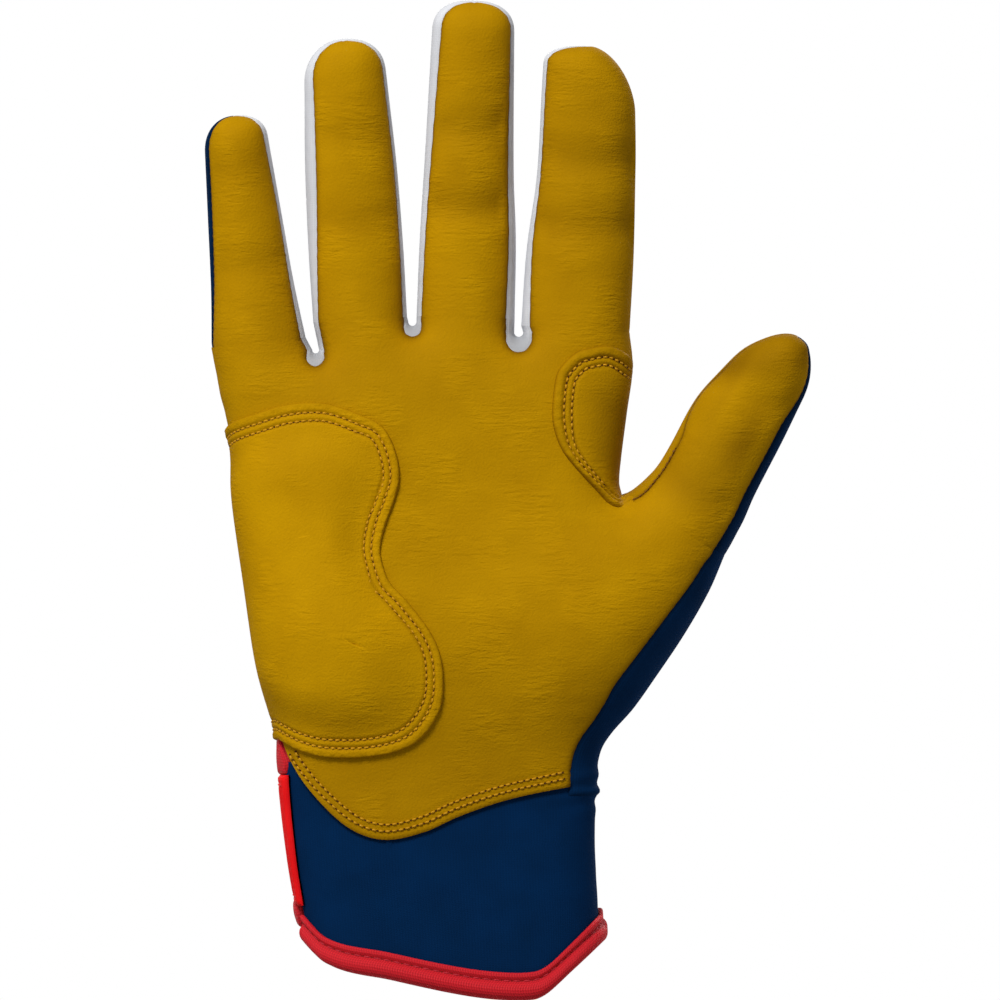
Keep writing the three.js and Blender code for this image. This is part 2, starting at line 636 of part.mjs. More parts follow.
function columnSpot(column, z) {
  const inX = column.way === radialWay ? -1 : 0;
  return skin(columnX(column, z), z, column.face, null, inX);
}
const tapeFoot = tapeThick + seamGap;
function cuffGrid(columns) {
  const edges = columns.map((column) => {
    const hem = hemAt(columnX(column, 12), column.face);
    const x = columnX(column, thenarStart);
    const strip = column.face < 0 ? thenar[0].front : thenarBack;
    const underStrip = x > radial(thenarStart) - strip - 1;
    const top = underStrip ? thenarStart - 2 * seamGap : seamAt(x) - seamGap;
    return [hem + tapeFoot, ...steps(hem + tapeHeight, top, 3)];
  });
  return edges[0].map((_, i) => columns.map((column, j) => columnSpot(column, edges[j][i])));
}
add("cuff_palm", sheet(cuffGrid(cuffPalmColumns), -cuffSink, -cuffSink - cuffThick), navy);
add("cuff_back", sheet(cuffGrid(cuffBackColumns), -cuffSink, -cuffSink - cuffThick), navy);

// Hem tape: a folded channel over the cuff's lower edge, all the way round from slit to slit
const tapeFace = seamGap - cuffSink;
const tapeOut = tapeFace + tapeThick;
const tapeIn = -cuffSink - cuffThick - seamGap;
const channel = [
  [tapeOut, 0], [tapeOut, tapeHeight], [tapeFace, tapeHeight], [tapeFace, tapeThick],
  [tapeIn, tapeThick], [tapeIn, tapeHeight], [tapeIn - tapeThick, tapeHeight], [tapeIn - tapeThick, 0],
];
const hemColumns = [...cuffPalmColumns, ...cuffBackColumns];
const hemPositions = [];
const hemFaces = [];
hemColumns.forEach((column) => {
  const hem = hemAt(columnX(column, 12), column.face);
  channel.forEach(([out, up]) => {
    const spot = columnSpot(column, hem + up);
    const p = spot.place.addScaledVector(spot.out, out);
    hemPositions.push(p.x, p.y, p.z);
  });
});
for (let i = 0; i < hemColumns.length - 1; i += 1) {
  for (let k = 0; k < 8; k += 1) {
    const a = 8 * i + k;
    const b = 8 * i + ((k + 1) % 8);
    hemFaces.push(a, b, b + 8, a, b + 8, a + 8);
  }
}
const hemEnd = 8 * (hemColumns.length - 1);
for (const [a, b, c, d] of [[0, 1, 2, 3], [0, 3, 4, 7], [4, 5, 6, 7]]) {
  hemFaces.push(c, b, a, d, c, a);
  hemFaces.push(hemEnd + a, hemEnd + b, hemEnd + c, hemEnd + a, hemEnd + c, hemEnd + d);
}
add("hem_binding", solid(hemPositions, hemFaces), crimson);

// Pieces over the ulnar edge of the cuff, from a front distance round to a back distance
function ulnarPiece(low, high, front, backs, count) {
  const fronts = [1, 0.5, 0].map((e) => ({ way: front * e * e, face: -1 }));
  const places = [...fronts, ...backs.map((way) => ({ way, face: 1 }))];
  return steps(low, high, count).map((z) => places.map(({ way, face }) => (
    skin(ulnar(z) + way, z, face, null, way === 0 ? 1 : 0)
  )));
}
const turnBacks = [slitBack * 0.2, slitBack * 0.55, slitBack];
const stripFront = slitFront - seamGap;
const topGrid = ulnarPiece(strapHigh + seamGap, slitTop + 2 * seamGap, stripFront, turnBacks, 2);
add("slit_top_binding", sheet(topGrid, patchLift + tapeThick, patchLift), crimson);

// Closure strap, from the palm's slit edge round the ulnar side and across the back
const loopBase = seamGap - cuffSink;
const closedLift = loopBase + 2 * seamGap + hookThick + loopThick;
const strapLift = curveThrough([
  [0, -1.4], [5, loopBase + 0.1], [10, loopBase + 0.3],
  [loopStart - 4, loopBase + 1], [loopStart, closedLift], [80, closedLift],
]);
const strapBacks = [0.4, 1.5, 3.4, 6, 10, 15, 20, loopStart, 29, 36, 43, 50, strapReach];
const strapWays = [0, 0, 0, ...strapBacks];
const strapInner = (i, j) => Math.min(strapLift(strapWays[j]), closedLift);
const strapOuter = (i, j) => strapInner(i, j) + strapThick;
const strapGrid = ulnarPiece(strapLow, strapHigh, stripFront, strapBacks, 3);
add("strap_band", sheet(strapGrid, strapOuter, strapInner), red);
const backPatch = (from, to, low, high) => steps(low, high, 2).map((z) => (
  steps(from, to, 5).map((way) => skin(ulnar(z) + way, z, 1))
));
const patchLow = strapLow + patchMargin;
const patchHigh = strapHigh - patchMargin;
const loopGrid = backPatch(loopStart + 1, loopEnd, patchLow, patchHigh);
add("loop_patch", sheet(loopGrid, loopBase + loopThick, loopBase), navy);
const hookGrid = backPatch(hookStart, strapReach - patchMargin, patchLow, patchHigh);
add("hook_patch", sheet(hookGrid, closedLift - seamGap, closedLift - seamGap - hookThick), grey);
const tabLow = strapLow + tabMargin;
const tabHigh = strapHigh - tabMargin;
const tabGrid = backPatch(strapReach + seamGap, strapReach + tabLength, tabLow, tabHigh);
add("strap_pull_tab", sheet(tabGrid, closedLift + tabThick, closedLift), navy);

export default glove;
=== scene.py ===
import math

import bpy
import numpy as np
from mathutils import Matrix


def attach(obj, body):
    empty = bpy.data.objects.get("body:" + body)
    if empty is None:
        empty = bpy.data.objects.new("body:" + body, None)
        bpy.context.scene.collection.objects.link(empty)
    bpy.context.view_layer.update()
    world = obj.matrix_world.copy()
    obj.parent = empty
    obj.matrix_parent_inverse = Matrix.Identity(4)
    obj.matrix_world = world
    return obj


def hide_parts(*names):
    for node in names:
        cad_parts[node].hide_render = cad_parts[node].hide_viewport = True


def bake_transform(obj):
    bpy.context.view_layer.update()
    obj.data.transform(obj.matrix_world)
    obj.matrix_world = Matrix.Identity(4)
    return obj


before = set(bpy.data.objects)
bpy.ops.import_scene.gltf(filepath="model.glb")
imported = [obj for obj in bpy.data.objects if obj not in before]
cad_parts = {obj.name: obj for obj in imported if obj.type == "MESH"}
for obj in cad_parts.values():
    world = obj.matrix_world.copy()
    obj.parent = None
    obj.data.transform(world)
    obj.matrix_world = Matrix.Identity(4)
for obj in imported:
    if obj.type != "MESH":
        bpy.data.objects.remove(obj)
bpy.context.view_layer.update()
mm = 0.001  # shapes are worked out in millimetres and written in metres
print("frame loaded", len(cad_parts), "nodes")


def mix(a, b, t):
    return a + (b - a) * t


# eased step from 0 to 1
def ease(t):
    t = np.clip(t, 0, 1)
    return t * t * (3 - 2 * t)


# bell of height 1
def bell(t, width):
    return np.exp(-((t / width) ** 2))


# quarter round from 0 at an edge to 1
def rounded(t):
    return np.sqrt(1 - (1 - np.clip(t, 0, 1)) ** 2)


# Hermite curve through [place, value] rows, straight beyond both ends
def curve(points):
    place, value = np.array(points, float).T
    near = np.arange(len(place))
    before, after = np.maximum(near - 1, 0), np.minimum(near + 1, len(place) - 1)
    slope = (value[after] - value[before]) / (place[after] - place[before])

    def at(t):
        t = np.asarray(t, float)
        i = np.clip(np.searchsorted(place, t, side="right") - 1, 0, len(place) - 2)
        span = place[i + 1] - place[i]
        k = np.clip((t - place[i]) / span, 0, 1)
        inside = ((2 * k**3 - 3 * k**2 + 1) * value[i] + (k**3 - 2 * k**2 + k) * span * slope[i]
                  + (3 * k**2 - 2 * k**3) * value[i + 1] + (k**3 - k**2) * span * slope[i + 1])
        return inside + slope[0] * np.minimum(t - place[0], 0) + slope[-1] * np.maximum(t - place[-1], 0)

    return at


# value noise from -1 to 1: hashed values at whole numbers, eased between them
def noise(x, y, seed):
    ix, iy = np.floor(x), np.floor(y)
    fx, fy = ease(x - ix), ease(y - iy)

    def corner(i, j):
        h = np.sin((ix + i) * 127.1 + (iy + j) * 311.7 + seed * 74.7) * 43758.5453
        return 2 * (h - np.floor(h)) - 1

    return mix(mix(corner(0, 0), corner(1, 0), fx), mix(corner(0, 1), corner(1, 1), fx), fy)


# running length along a line of places, or along one axis of a grid
def runLength(place, axis=0):
    step = np.linalg.norm(np.diff(place, axis=axis), axis=-1)
    return np.insert(np.cumsum(step, axis=axis), 0, 0, axis=axis)


# distance over a grid from the nearer of its first and last columns
def sideGap(place):
    run = runLength(place, 1)
    return np.minimum(run, run[:, -1:] - run)


# the same from the nearest of all four edges
def rimGap(place):
    rise = runLength(place)
    return np.minimum(sideGap(place), np.minimum(rise, rise[-1:] - rise))


# evenly spaced places along an open line
def evenly(line, count):
    run = runLength(line)
    at = np.linspace(0, run[-1], count)
    return np.stack([np.interp(at, run, line[:, k]) for k in range(line.shape[1])], axis=1)


# square to a line in its plane, on its left
def leftward(line):
    slope = np.gradient(line, axis=0)
    return np.stack([-slope[:, 1], slope[:, 0]], 1) / np.linalg.norm(slope, axis=1, keepdims=True)


# distance in the x, z plane from each place to a line of points
def lineDistance(x, z, lineX, lineZ):
    found = np.full(x.shape, 1e9)
    for px, pz in zip(lineX, lineZ):
        found = np.minimum(found, (x - px) ** 2 + (z - pz) ** 2)
    return np.sqrt(found)


# the same without a ridge in the middle: one over distance to the fourth, summed along the line
def smoothDistance(x, z, lineX, lineZ):
    step = np.hypot(np.diff(lineX), np.diff(lineZ)).mean()
    total = np.zeros(x.shape)
    for px, pz in zip(lineX, lineZ):
        total += step / ((x - px) ** 2 + (z - pz) ** 2 + 0.3) ** 2
    return (np.pi / 2 / total) ** (1 / 3)


# The hand form. A tip is the reach of the rounding on that side and its bluntness, a seam the distance in from
# the outline along the finger, a bow a sideways shift of that side, darkening the base tone and the painted shade
# at the middle.
fingers = {
    "pinky": dict(x=-45.0, crease=157.1, lean=-6.2, length=54.7, halves=(11.4, 10.0, 8.9, 8.0), curl=5.0,
                  leftTip=(8.2, 2.2), rightTip=(5.6, 2.3), folds=(18.0, 40.0), foldDeep=0.4, patina=(0.13, 0.0),
                  leftSeam=(0.05, 0.8, 0.7), rightSeam=(0.8, 0.3, 0.7), tipSeam=0.06, backSeam=3.2),
    "ring": dict(x=-20.6, crease=162.6, lean=-3.44, length=67.3, halves=(11.3, 11.4, 11.0, 10.1), curl=5.5,
                 leftTip=(10.0, 2.1), rightTip=(8.2, 2.4), folds=(22.5, 43.0), foldDeep=0.4, patina=(0.1, 0.02),
                 leftSeam=(0.9, 2.4, 1.5), rightSeam=(0.6, 0.35, 0.4), tipSeam=0.4, backSeam=3.2),
    "middle": dict(x=4.4, crease=163.1, lean=1.8, length=75.9, halves=(11.5, 11.3, 10.6, 10.1), curl=6.0,
                   leftTip=(7.4, 2.4), rightTip=(7.4, 2.4), folds=(25.5, 44.5), foldDeep=1.1, patina=(0.11, 0.1),
                   leftSeam=(0.8, 1.2, 2.1), rightSeam=(1.8, 1.0, 0.4), tipSeam=0.4, backSeam=3.2,
                   rightBow=[[0, 0.6], [20, 0.5], [34, 0], [76, 0]]),
    "index": dict(x=31.3, crease=160.3, lean=3.63, length=67.8, halves=(12.8, 12.6, 11.8, 11.3), curl=5.5,
                  leftTip=(5.0, 2.4), rightTip=(15.0, 1.8), folds=(24.0, 40.0), foldDeep=0.85,
                  patina=(0.21, 0.05), leftSeam=(1.7, 0.5, 0.6), rightSeam=(3.0, 3.0, 2.0), tipSeam=0.06,
                  backSeam=3.2, leftBow=[[0, -0.5], [19, -0.6], [36, 0], [58, -0.8], [68, -1.1]],
                  rightBow=[[0, 0], [40, 0], [58, -0.8], [68, -1.1]]),
    "thumb": dict(x=54.6, crease=113.2, lean=30.5, length=54.2, halves=(13.2, 11.9, 11.6, 10.6), curl=6.0,
                  leftTip=(23.4, 2.0), rightTip=(13.0, 2.2), folds=(9.0, 37.0), foldDeep=0.55,
                  patina=(0.13, 0.1), leftSeam=(2.4, 2.2, 1.7, 1.45, 1.3, 1.15, 0.4) + (0.04,) * 8,
                  rightSeam=(2.75, 2.4, 2.2, 2.0, 1.9, 1.75, 0.8, 0.5, 0.5), tipSeam=0.1, backSeam=3.6,
                  leftBow=[[0, -1.2], [1.5, -0.3], [3, 0.3], [6, 1.0], [10, 1.5], [16, 1.3], [28, 0.7],
                           [37, 1.3], [45, 1.15], [50, 1.9], [54.2, 2.6]],
                  rightBow=[[0, 1.0], [3, 1.3], [6, 1.5], [10, 1.7], [16, 1.3], [30, 0.7], [47, 0.7],
                            [52, 1.2], [54.2, 2.6]]),
}
form = {
    "palmDepths": [[0, 19.2], [30, 16.8], [45, 15.4], [58, 15.0], [74, 16.4], [90, 17.4], [120, 15.5],
                   [160, 13.6], [200, 12.8], [240, 11.4]],
    "backDepths": [[0, 18], [45, 17], [62, 15], [88, 14.5], [120, 13.5], [160, 12.8], [200, 12], [240, 10.6]],
    "roll": 18,
    "swells": [(42, 88, 24, 0.16), (-28, 78, 24, 0.16), (2, 116, 22, -0.1), (24, 50, 18, -0.12),
               (76, 141, 17, -0.22)],
    "flatThumb": (76, 141, 17, 0.45),
    "ulnar": [[-70, -28], [16, -35.9], [22, -37.0], [33, -38.9], [51, -41.0], [60.5, -41.2], [69, -42.9],
              [83, -46.2], [105, -49.0], [126, -52.0], [145, -54.3]],
    "radial": [[-70, 41], [16, 37.9], [22, 37.6], [29, 37.3], [40, 37.0], [50, 37.2], [55, 36.6],
               [59.5, 37.4], [63.6, 40.0], [69, 44.8], [76, 49.8], [87, 57.2], [97.5, 63.2]],
    "indexSide": [[123.4, 41.5], [129, 41.9], [140, 43.3], [151.7, 44.8]],
    "webs": [("pinky", "ring", dict(shift=1.5, drop=4.8, radius=0.8, front=2.9, back=3.6, fans=(1.25, -0.5))),
             ("ring", "middle", dict(shift=0.15, drop=1.3, radius=0.95, front=2.4, back=3.4, fans=(0.8, -0.6))),
             ("middle", "index", dict(shift=0.2, drop=2.4, radius=1.05, front=3.5, back=3.6, fans=(0.6, -0.6)))],
    "shaftCount": 44,
    "tipCount": 22,
    "legCount": 8,
    "leastWay": 0.03,
    "tuck": 0.35,
}


# place q across and s along a finger, in the plane of the outline
def onFinger(f, q, s):
    return f["x"] + f["acrossX"] * q + f["axisX"] * s, f["crease"] + f["acrossZ"] * q + f["axisZ"] * s


# how far along and across a finger a place lies
def fingerWays(f, x, z):
    dx, dz = x - f["x"], z - f["crease"]
    return dx * f["axisX"] + dz * f["axisZ"], dx * f["acrossX"] + dz * f["acrossZ"]


# one side of a finger: straight up the shaft, then a quarter of a superellipse over the tip
def sideLine(f, name, side):
    tip, blunt = f[name + "Tip"]
    seams = f[name + "Seam"]
    shaft = f["length"] - tip
    turn = np.append(np.linspace(0, math.radians(89.5), form["tipCount"]), math.pi / 2)
    angle = np.concatenate([np.zeros(form["shaftCount"]), turn])
    s = np.concatenate([np.linspace(0, shaft, form["shaftCount"] + 1)[:-1],
                        shaft + tip * np.sin(turn) ** (2 / blunt)])
    q = side * f["half"](s) * np.clip(np.cos(angle), 0, 1) ** (2 / blunt)
    q = q + curve(f.get(name + "Bow", [[0, 0], [1, 0]]))(s)
    x, z = onFinger(f, q, s)
    front = curve(list(zip(np.linspace(0, 1, len(seams)), seams)))(s / f["length"])
    across, along = -side * np.cos(angle), -np.sin(angle)
    return dict(x=x, z=z, front=mix(front, f["tipSeam"], ease(angle / math.pi * 2)),
                inX=across * f["acrossX"] + along * f["axisX"], inZ=across * f["acrossZ"] + along * f["axisZ"],
                back=mix(f["backSeam"], 1.2, (s / f["length"]) ** 4))


# places a way in from a line; with one row for each step in, the grid comes out lying on its side
def inFrom(line, way):
    return line["x"] + line["inX"] * way, line["z"] + line["inZ"] * way


for f in fingers.values():
    lean = math.radians(f["lean"])
    f.update(axisX=math.sin(lean), axisZ=math.cos(lean), acrossX=math.cos(lean), acrossZ=-math.sin(lean), roots=[])
    widths = curve(list(zip((0, 0.25, 0.55, 0.8), f["halves"])))
    f["half"] = lambda s, widths=widths, length=f["length"]: widths(s / length)
    for name, side in (("left", -1), ("right", 1)):
        f[name] = sideLine(f, name, side)
        f["roots"].append((f[name]["x"][0] - f["x"]) / f["acrossX"])
        f[name + "Panel"] = {key: part[:-1] for key, part in f[name].items()}  # panels stop just short of the tip
pinky, ring, middle, index, thumb = fingers.values()
longFingers = pinky, ring, middle, index


# down one finger, round the foot of the gap and up the next
def webLine(web, count=26):
    left, right, size = fingers[web[0]], fingers[web[1]], web[2]
    start, end = (np.array([line["x"][0], line["z"][0]]) for line in (left["right"], right["left"]))
    angle = np.linspace(math.pi, 2 * math.pi, count)
    circle = np.stack([np.cos(angle), np.sin(angle)], 1)
    foot = (start + end) / 2 + (size["shift"], -size["drop"]) + size["radius"] * circle
    leg = np.linspace(0, 1, form["legCount"] + 1)
    down, up = leg[:-1], leg[1:]
    x, z = np.concatenate([mix(start, foot[0], down[:, None]), foot, mix(foot[-1], end, up[:, None])]).T
    turn = np.concatenate([mix(math.pi - math.radians(left["lean"]), math.pi, down), angle,
                           mix(2 * math.pi, 2 * math.pi - math.radians(right["lean"]), up)])
    share = np.concatenate([0 * down, np.sin(angle) ** 2, 0 * up])
    t = np.linspace(0, 1, len(x))
    falls = [way[0] / way[1] for way in (foot[0] - start, end - foot[-1])]
    return dict(x=x, z=z, inX=np.cos(turn), inZ=np.sin(turn), falls=falls,
                front=mix(mix(left["rightSeam"][0], right["leftSeam"][0], t), size["front"], share),
                back=mix(mix(left["backSeam"], right["backSeam"], t), size["back"], share))


webLines = [webLine(web) for web in form["webs"]]
pinkyRoot, indexRoot, thumbInner, thumbOuter = (
    (line["x"][0], line["z"][0]) for line in (pinky["left"], index["right"], thumb["left"], thumb["right"]))
ulnar = curve(form["ulnar"] + [pinkyRoot[::-1]])
radial = curve(form["radial"] + [thumbOuter[::-1]])
indexSide = curve([thumbInner[::-1]] + form["indexSide"] + [indexRoot[::-1]])


# the outline as straight pieces, from below the cuff on the ulnar side round to the radial side
def outlinePieces():
    up = np.concatenate([np.linspace(-70, 0, 8)[:-1], np.linspace(0, pinkyRoot[1], 210)])
    side = np.linspace(indexRoot[1], thumbInner[1], 54)
    down = np.concatenate([np.linspace(thumbOuter[1], 0, 160), np.linspace(0, -70, 8)[1:]])
    stall = lambda f: [(f["left"]["x"], f["left"]["z"]), (f["right"]["x"][::-1], f["right"]["z"][::-1])]
    runs = [(ulnar(up), up)]
    for k, f in enumerate(longFingers):
        runs += stall(f) + [(line["x"], line["z"]) for line in webLines[k:k + 1]]
    runs += [(indexSide(side), side)] + stall(thumb) + [(radial(down), down)]
    x, z = (np.concatenate(part) for part in zip(*runs))
    keep = np.insert(np.hypot(np.diff(x), np.diff(z)) > 1e-5, 0, True)
    x, z = x[keep], z[keep]
    length = np.hypot(np.diff(x), np.diff(z))
    return np.stack([x[:-1], z[:-1], length, np.diff(x) / length, np.diff(z) / length], axis=1)


outline = outlinePieces()


# sum over the outline of one over distance cubed, and its slopes along x and z
def outlineSum(x, z):
    total, slopeX, slopeZ = np.zeros_like(x), np.zeros_like(x), np.zeros_like(x)
    for startX, startZ, length, dx, dz in outline:
        along = (x - startX) * dx + (z - startZ) * dz
        aside = (x - startX) * dz - (z - startZ) * dx
        away = np.maximum(aside * aside, 1e-9)
        rest = length - along
        nearEnd, nearStart = away + rest * rest, away + along * along
        endRoot, startRoot = np.sqrt(nearEnd), np.sqrt(nearStart)
        here = (rest / endRoot + along / startRoot) / away
        total += here
        byAlong = 1 / (nearStart * startRoot) - 1 / (nearEnd * endRoot)
        byAside = -(rest / (nearEnd * endRoot) + along / (nearStart * startRoot) + 2 * here) * aside / away
        slopeX += byAlong * dx + byAside * dz
        slopeZ += byAlong * dz - byAside * dx
    return total, slopeX, slopeZ


palmDepth, backDepth = curve(form["palmDepths"]), curve(form["backDepths"])


# share of a round swell at a place: a bell of the distance from its middle
def swellAt(x, z, swell):
    middleX, middleZ, radius, share = swell
    return share * np.exp(-((x - middleX) ** 2 + (z - middleZ) ** 2) / radius**2)


def depthAt(x, z, face):
    palm = palmDepth(z)
    for swell in form["swells"]:
        palm = palm * (1 + swellAt(x, z, swell))
    return np.where(face < 0, palm, backDepth(z))


# a place on the form and its way out: the height squared is depth squared times 1 - exp(-2 reach / roll),
# and a finger bends to the palm with the square of the way along it
def skin(x, z, face, f=None):
    face = np.broadcast_to(np.asarray(face, float), x.shape)
    total, sumX, sumZ = outlineSum(x, z)
    far = np.sqrt(2 / total)
    roll = form["roll"] * (1 - swellAt(x, z, form["flatThumb"]) * (face < 0))  # flatter on the thumb's palm side
    fade = np.exp(-2 * far / roll)
    depth = depthAt(x, z, face)
    byX = (depthAt(x + 0.01, z, face) - depthAt(x - 0.01, z, face)) / 0.02
    byZ = (depthAt(x, z + 0.01, face) - depthAt(x, z - 0.01, face)) / 0.02
    height = depth * np.sqrt(1 - fade)
    rise = -depth * depth * fade * far / (total * roll)
    slopeX = 2 * depth * byX * (1 - fade) + rise * sumX
    slopeZ = 2 * depth * byZ * (1 - fade) + rise * sumZ
    bend, tiltX, tiltZ = np.zeros_like(x), 0, 0
    if f:
        s = np.maximum(fingerWays(f, x, z)[0], 0)
        bend = -f["curl"] * (s / f["length"]) ** 2
        tilt = -2 * f["curl"] * s / f["length"] ** 2
        tiltX, tiltZ = tilt * f["axisX"], tilt * f["axisZ"]
    out = np.stack([-slopeX / 2 - face * tiltX * height, face * height,
                    -slopeZ / 2 - face * tiltZ * height], axis=-1)
    place = np.stack([x, bend + face * height, z], axis=-1)
    return place, out / np.linalg.norm(out, axis=-1, keepdims=True)


# e runs over an edge from -1 on the palm to 1 on the back; the way in grows with its square
def overEdge(count):
    return np.linspace(-1, 1, 2 * count)


# never quite on the outline, where the way out is lost
def wayIn(way):
    return np.maximum(way, form["leastWay"])


def stripGrid(line, count, f=None):
    e = overEdge(count)[:, None]
    x, z = (part.T for part in inFrom(line, wayIn(np.where(e < 0, line["front"], line["back"]) * e * e)))
    return skin(x, z, np.sign(e).T, f)


# rows up a finger and columns across it; a wrapping panel goes on over one side to the other face's seam
def fingerGrid(f, face, wrap=0, count=34):
    lines = f["leftPanel"], f["rightPanel"]
    near, far = ("front", "back") if face < 0 else ("back", "front")
    left, right = (inFrom(line, line[near]) for line in lines)
    x, z = (mix(a[:, None], b[:, None], np.linspace(0, 1, count)) for a, b in zip(left, right))
    faces = np.full(x.shape, float(face))
    if wrap:
        line = lines[wrap > 0]
        e = -overEdge(9)[1:, None]
        turnX, turnZ = inFrom(line, wayIn(np.where(e > 0, line[near], line[far]) * e * e))
        turnFace = np.where(e > 0, face, -face) + 0 * turnX
        parts = ((x, turnX.T), (z, turnZ.T), (faces, turnFace.T))
        if wrap < 0:
            parts = [(turn[:, ::-1], row) for row, turn in parts]
        x, z, faces = (np.concatenate(pair, axis=1) for pair in parts)
    x[0] -= form["tuck"] * f["axisX"]  # the first row tucks under the hand's panel
    z[0] -= form["tuck"] * f["axisZ"]
    return skin(x, z, faces, f)


# sRGB hex to linear
def colour(text):
    c = np.array([int(text[k:k + 2], 16) / 255 for k in (1, 3, 5)])
    return tuple(np.where(c <= 0.04045, c / 12.92, ((c + 0.055) / 1.055) ** 2.4)) + (1.0,)


# sets sockets to values, or links them from a node's first output or from the output given
def feed(tree, node, inputs):
    for key, value in inputs.items():
        value = value.outputs[0] if isinstance(value, bpy.types.Node) else value
        if isinstance(value, bpy.types.NodeSocket):
            tree.links.new(value, node.inputs[key])
        else:
            node.inputs[key].default_value = value


# adds a node with its settings and its inputs
def addNode(tree, kind, attrs=None, inputs=None):
    node = tree.nodes.new("ShaderNode" + kind)
    for key, value in (attrs or {}).items():
        setattr(node, key, value)
    feed(tree, node, inputs or {})
    return node


def calc(tree, operation, *values, clamp=False):
    return addNode(tree, "Math", {"operation": operation, "use_clamp": clamp}, dict(enumerate(values)))


def remap(tree, value, low, high, toLow=0.0, toHigh=1.0):
    return addNode(tree, "MapRange", None, {"Value": value, "From Min": low, "From Max": high,
                                            "To Min": toLow, "To Max": toHigh})


def mixColour(tree, share, a, b):
    a, b = (colour(c) if isinstance(c, str) else c for c in (a, b))
    return addNode(tree, "Mix", {"data_type": "RGBA"}, {0: share, 6: a, 7: b}).outputs[2]


# noise whose features are about so many millimetres
def cloud(tree, size, detail):
    spot = addNode(tree, "TexCoord").outputs["Object"]
    return addNode(tree, "TexNoise", None, {"Vector": spot, "Scale": 1 / (size * mm), "Detail": detail})


def bumpFrom(tree, height, strength, distance):
    return addNode(tree, "Bump", None, {"Height": height, "Strength": strength, "Distance": distance * mm})


# adds the mesh's shade attribute, painted shade with a base darkening, to a share of the darker colour
def withShade(tree, share):
    shade = addNode(tree, "Attribute", {"attribute_name": "shade"})
    return calc(tree, "ADD", share, shade.outputs["Fac"], clamp=True)


def newMaterial(name):
    material = bpy.data.materials.new(name)
    material.use_nodes = True
    tree = material.node_tree
    tree.nodes.clear()
    shader = addNode(tree, "BsdfPrincipled")
    addNode(tree, "OutputMaterial", None, {"Surface": shader})
    return material, tree, shader


# Sheepskin glove leather, drum dyed and milled: fine pebble, soft cross wrinkles, browner by the shade attribute,
# which holds painted shade and a base darkening, and by painted shade in the wrinkle valleys
def gloveLeather():
    look = dict(base="#c69403", deep="#ba8902", brown="#5c3a02", pebble=0.5, wrinkleLong=4.2, wrinkleHigh=0.8,
                patch=12.0, tone=16.0)
    material, tree, shader = newMaterial("gold_sheepskin")
    spot = addNode(tree, "TexCoord").outputs["Object"]
    grain = addNode(tree, "TexVoronoi", {"feature": "SMOOTH_F1"},
                    {"Vector": spot, "Scale": 1 / (look["pebble"] * mm), "Smoothness": 0.6}).outputs["Distance"]
    long, high = 1 / (look["wrinkleLong"] * mm), 1 / (look["wrinkleHigh"] * mm)
    stretched = addNode(tree, "Mapping", None, {"Vector": spot, "Scale": (long, long, high)})
    wrinkle = addNode(tree, "TexNoise", None, {"Vector": stretched, "Scale": 1.0, "Detail": 3.0,
                                               "Roughness": 0.55, "Distortion": 0.5})
    lines = calc(tree, "MULTIPLY", wrinkle, remap(tree, cloud(tree, look["patch"], 1.0), 0.4, 0.66))
    height = calc(tree, "MULTIPLY_ADD", grain, 0.22, lines)
    gold = mixColour(tree, remap(tree, cloud(tree, look["tone"], 4.0), 0.3, 0.7), look["base"], look["deep"])
    # painted shade: a little darker in the wrinkle valleys, added to the shade attribute
    paintedShade = withShade(tree, remap(tree, lines, 0.5, 0.2, 0.0, 0.06))
    feed(tree, shader, {"Base Color": mixColour(tree, paintedShade, gold, look["brown"]),
                        "Roughness": remap(tree, grain, 0.0, 1.0, 0.62, 0.76),
                        "Normal": bumpFrom(tree, height, 1.0, 0.32), "Specular IOR Level": 0.02})
    return material


# Knitted cloth: columns of leaning stitches on the piece's own map in millimetres, dull and a little uneven, with
# painted shade between the loops
def knitCloth(name, base, deep, course, rough):
    material, tree, shader = newMaterial(name)
    spot = addNode(tree, "SeparateXYZ", None, {0: addNode(tree, "UVMap")})
    wale = calc(tree, "PINGPONG", spot, course / 2)
    lean = calc(tree, "MULTIPLY_ADD", wale, 0.9, spot.outputs[1])
    loops = calc(tree, "ADD", wale, calc(tree, "PINGPONG", lean, course * 0.4))
    height = remap(tree, loops, 0.0, course * 0.9)
    # painted shade: darker where the loops sink, plus an uneven tone
    yarn = calc(tree, "MULTIPLY_ADD", height, -0.45, cloud(tree, 11, 3.0))
    feed(tree, shader, {"Base Color": mixColour(tree, withShade(tree, yarn), base, deep), "Roughness": rough,
                        "Normal": bumpFrom(tree, height, 0.45, 0.12), "Specular IOR Level": 0.02})
    return material


# Ribbed binding tape: cross ribs along its length, with painted shade in the valleys between ribs, so paler on the
# crown of each rib
def bindingTape(name, base, deep, rib):
    material, tree, shader = newMaterial(name)
    spot = addNode(tree, "SeparateXYZ", None, {0: addNode(tree, "UVMap")})
    knop = calc(tree, "PINGPONG", spot.outputs[1], rib * 0.6)
    grid = calc(tree, "MULTIPLY_ADD", knop, 0.5, calc(tree, "PINGPONG", spot, rib / 2))
    height = remap(tree, grid, 0.0, rib * 0.65)
    dark = withShade(tree, remap(tree, height, 0.0, 1.0, 0.55, 0.0))
    feed(tree, shader, {"Base Color": mixColour(tree, dark, base, deep), "Roughness": 0.6,
                        "Normal": bumpFrom(tree, height, 0.6, 0.2), "Specular IOR Level": 0.1})
    return material


# Spun thread, pile and hooks: one colour with a fine fleck of tone
def plainFinish(name, base, deep, grain, rough, bumpHeight):
    material, tree, shader = newMaterial(name)
    fleck = cloud(tree, grain, 2.0)
    feed(tree, shader, {"Base Color": mixColour(tree, fleck, base, deep), "Roughness": rough,
                        "Normal": bumpFrom(tree, fleck, 0.6, bumpHeight), "Specular IOR Level": 0.2})
    return material


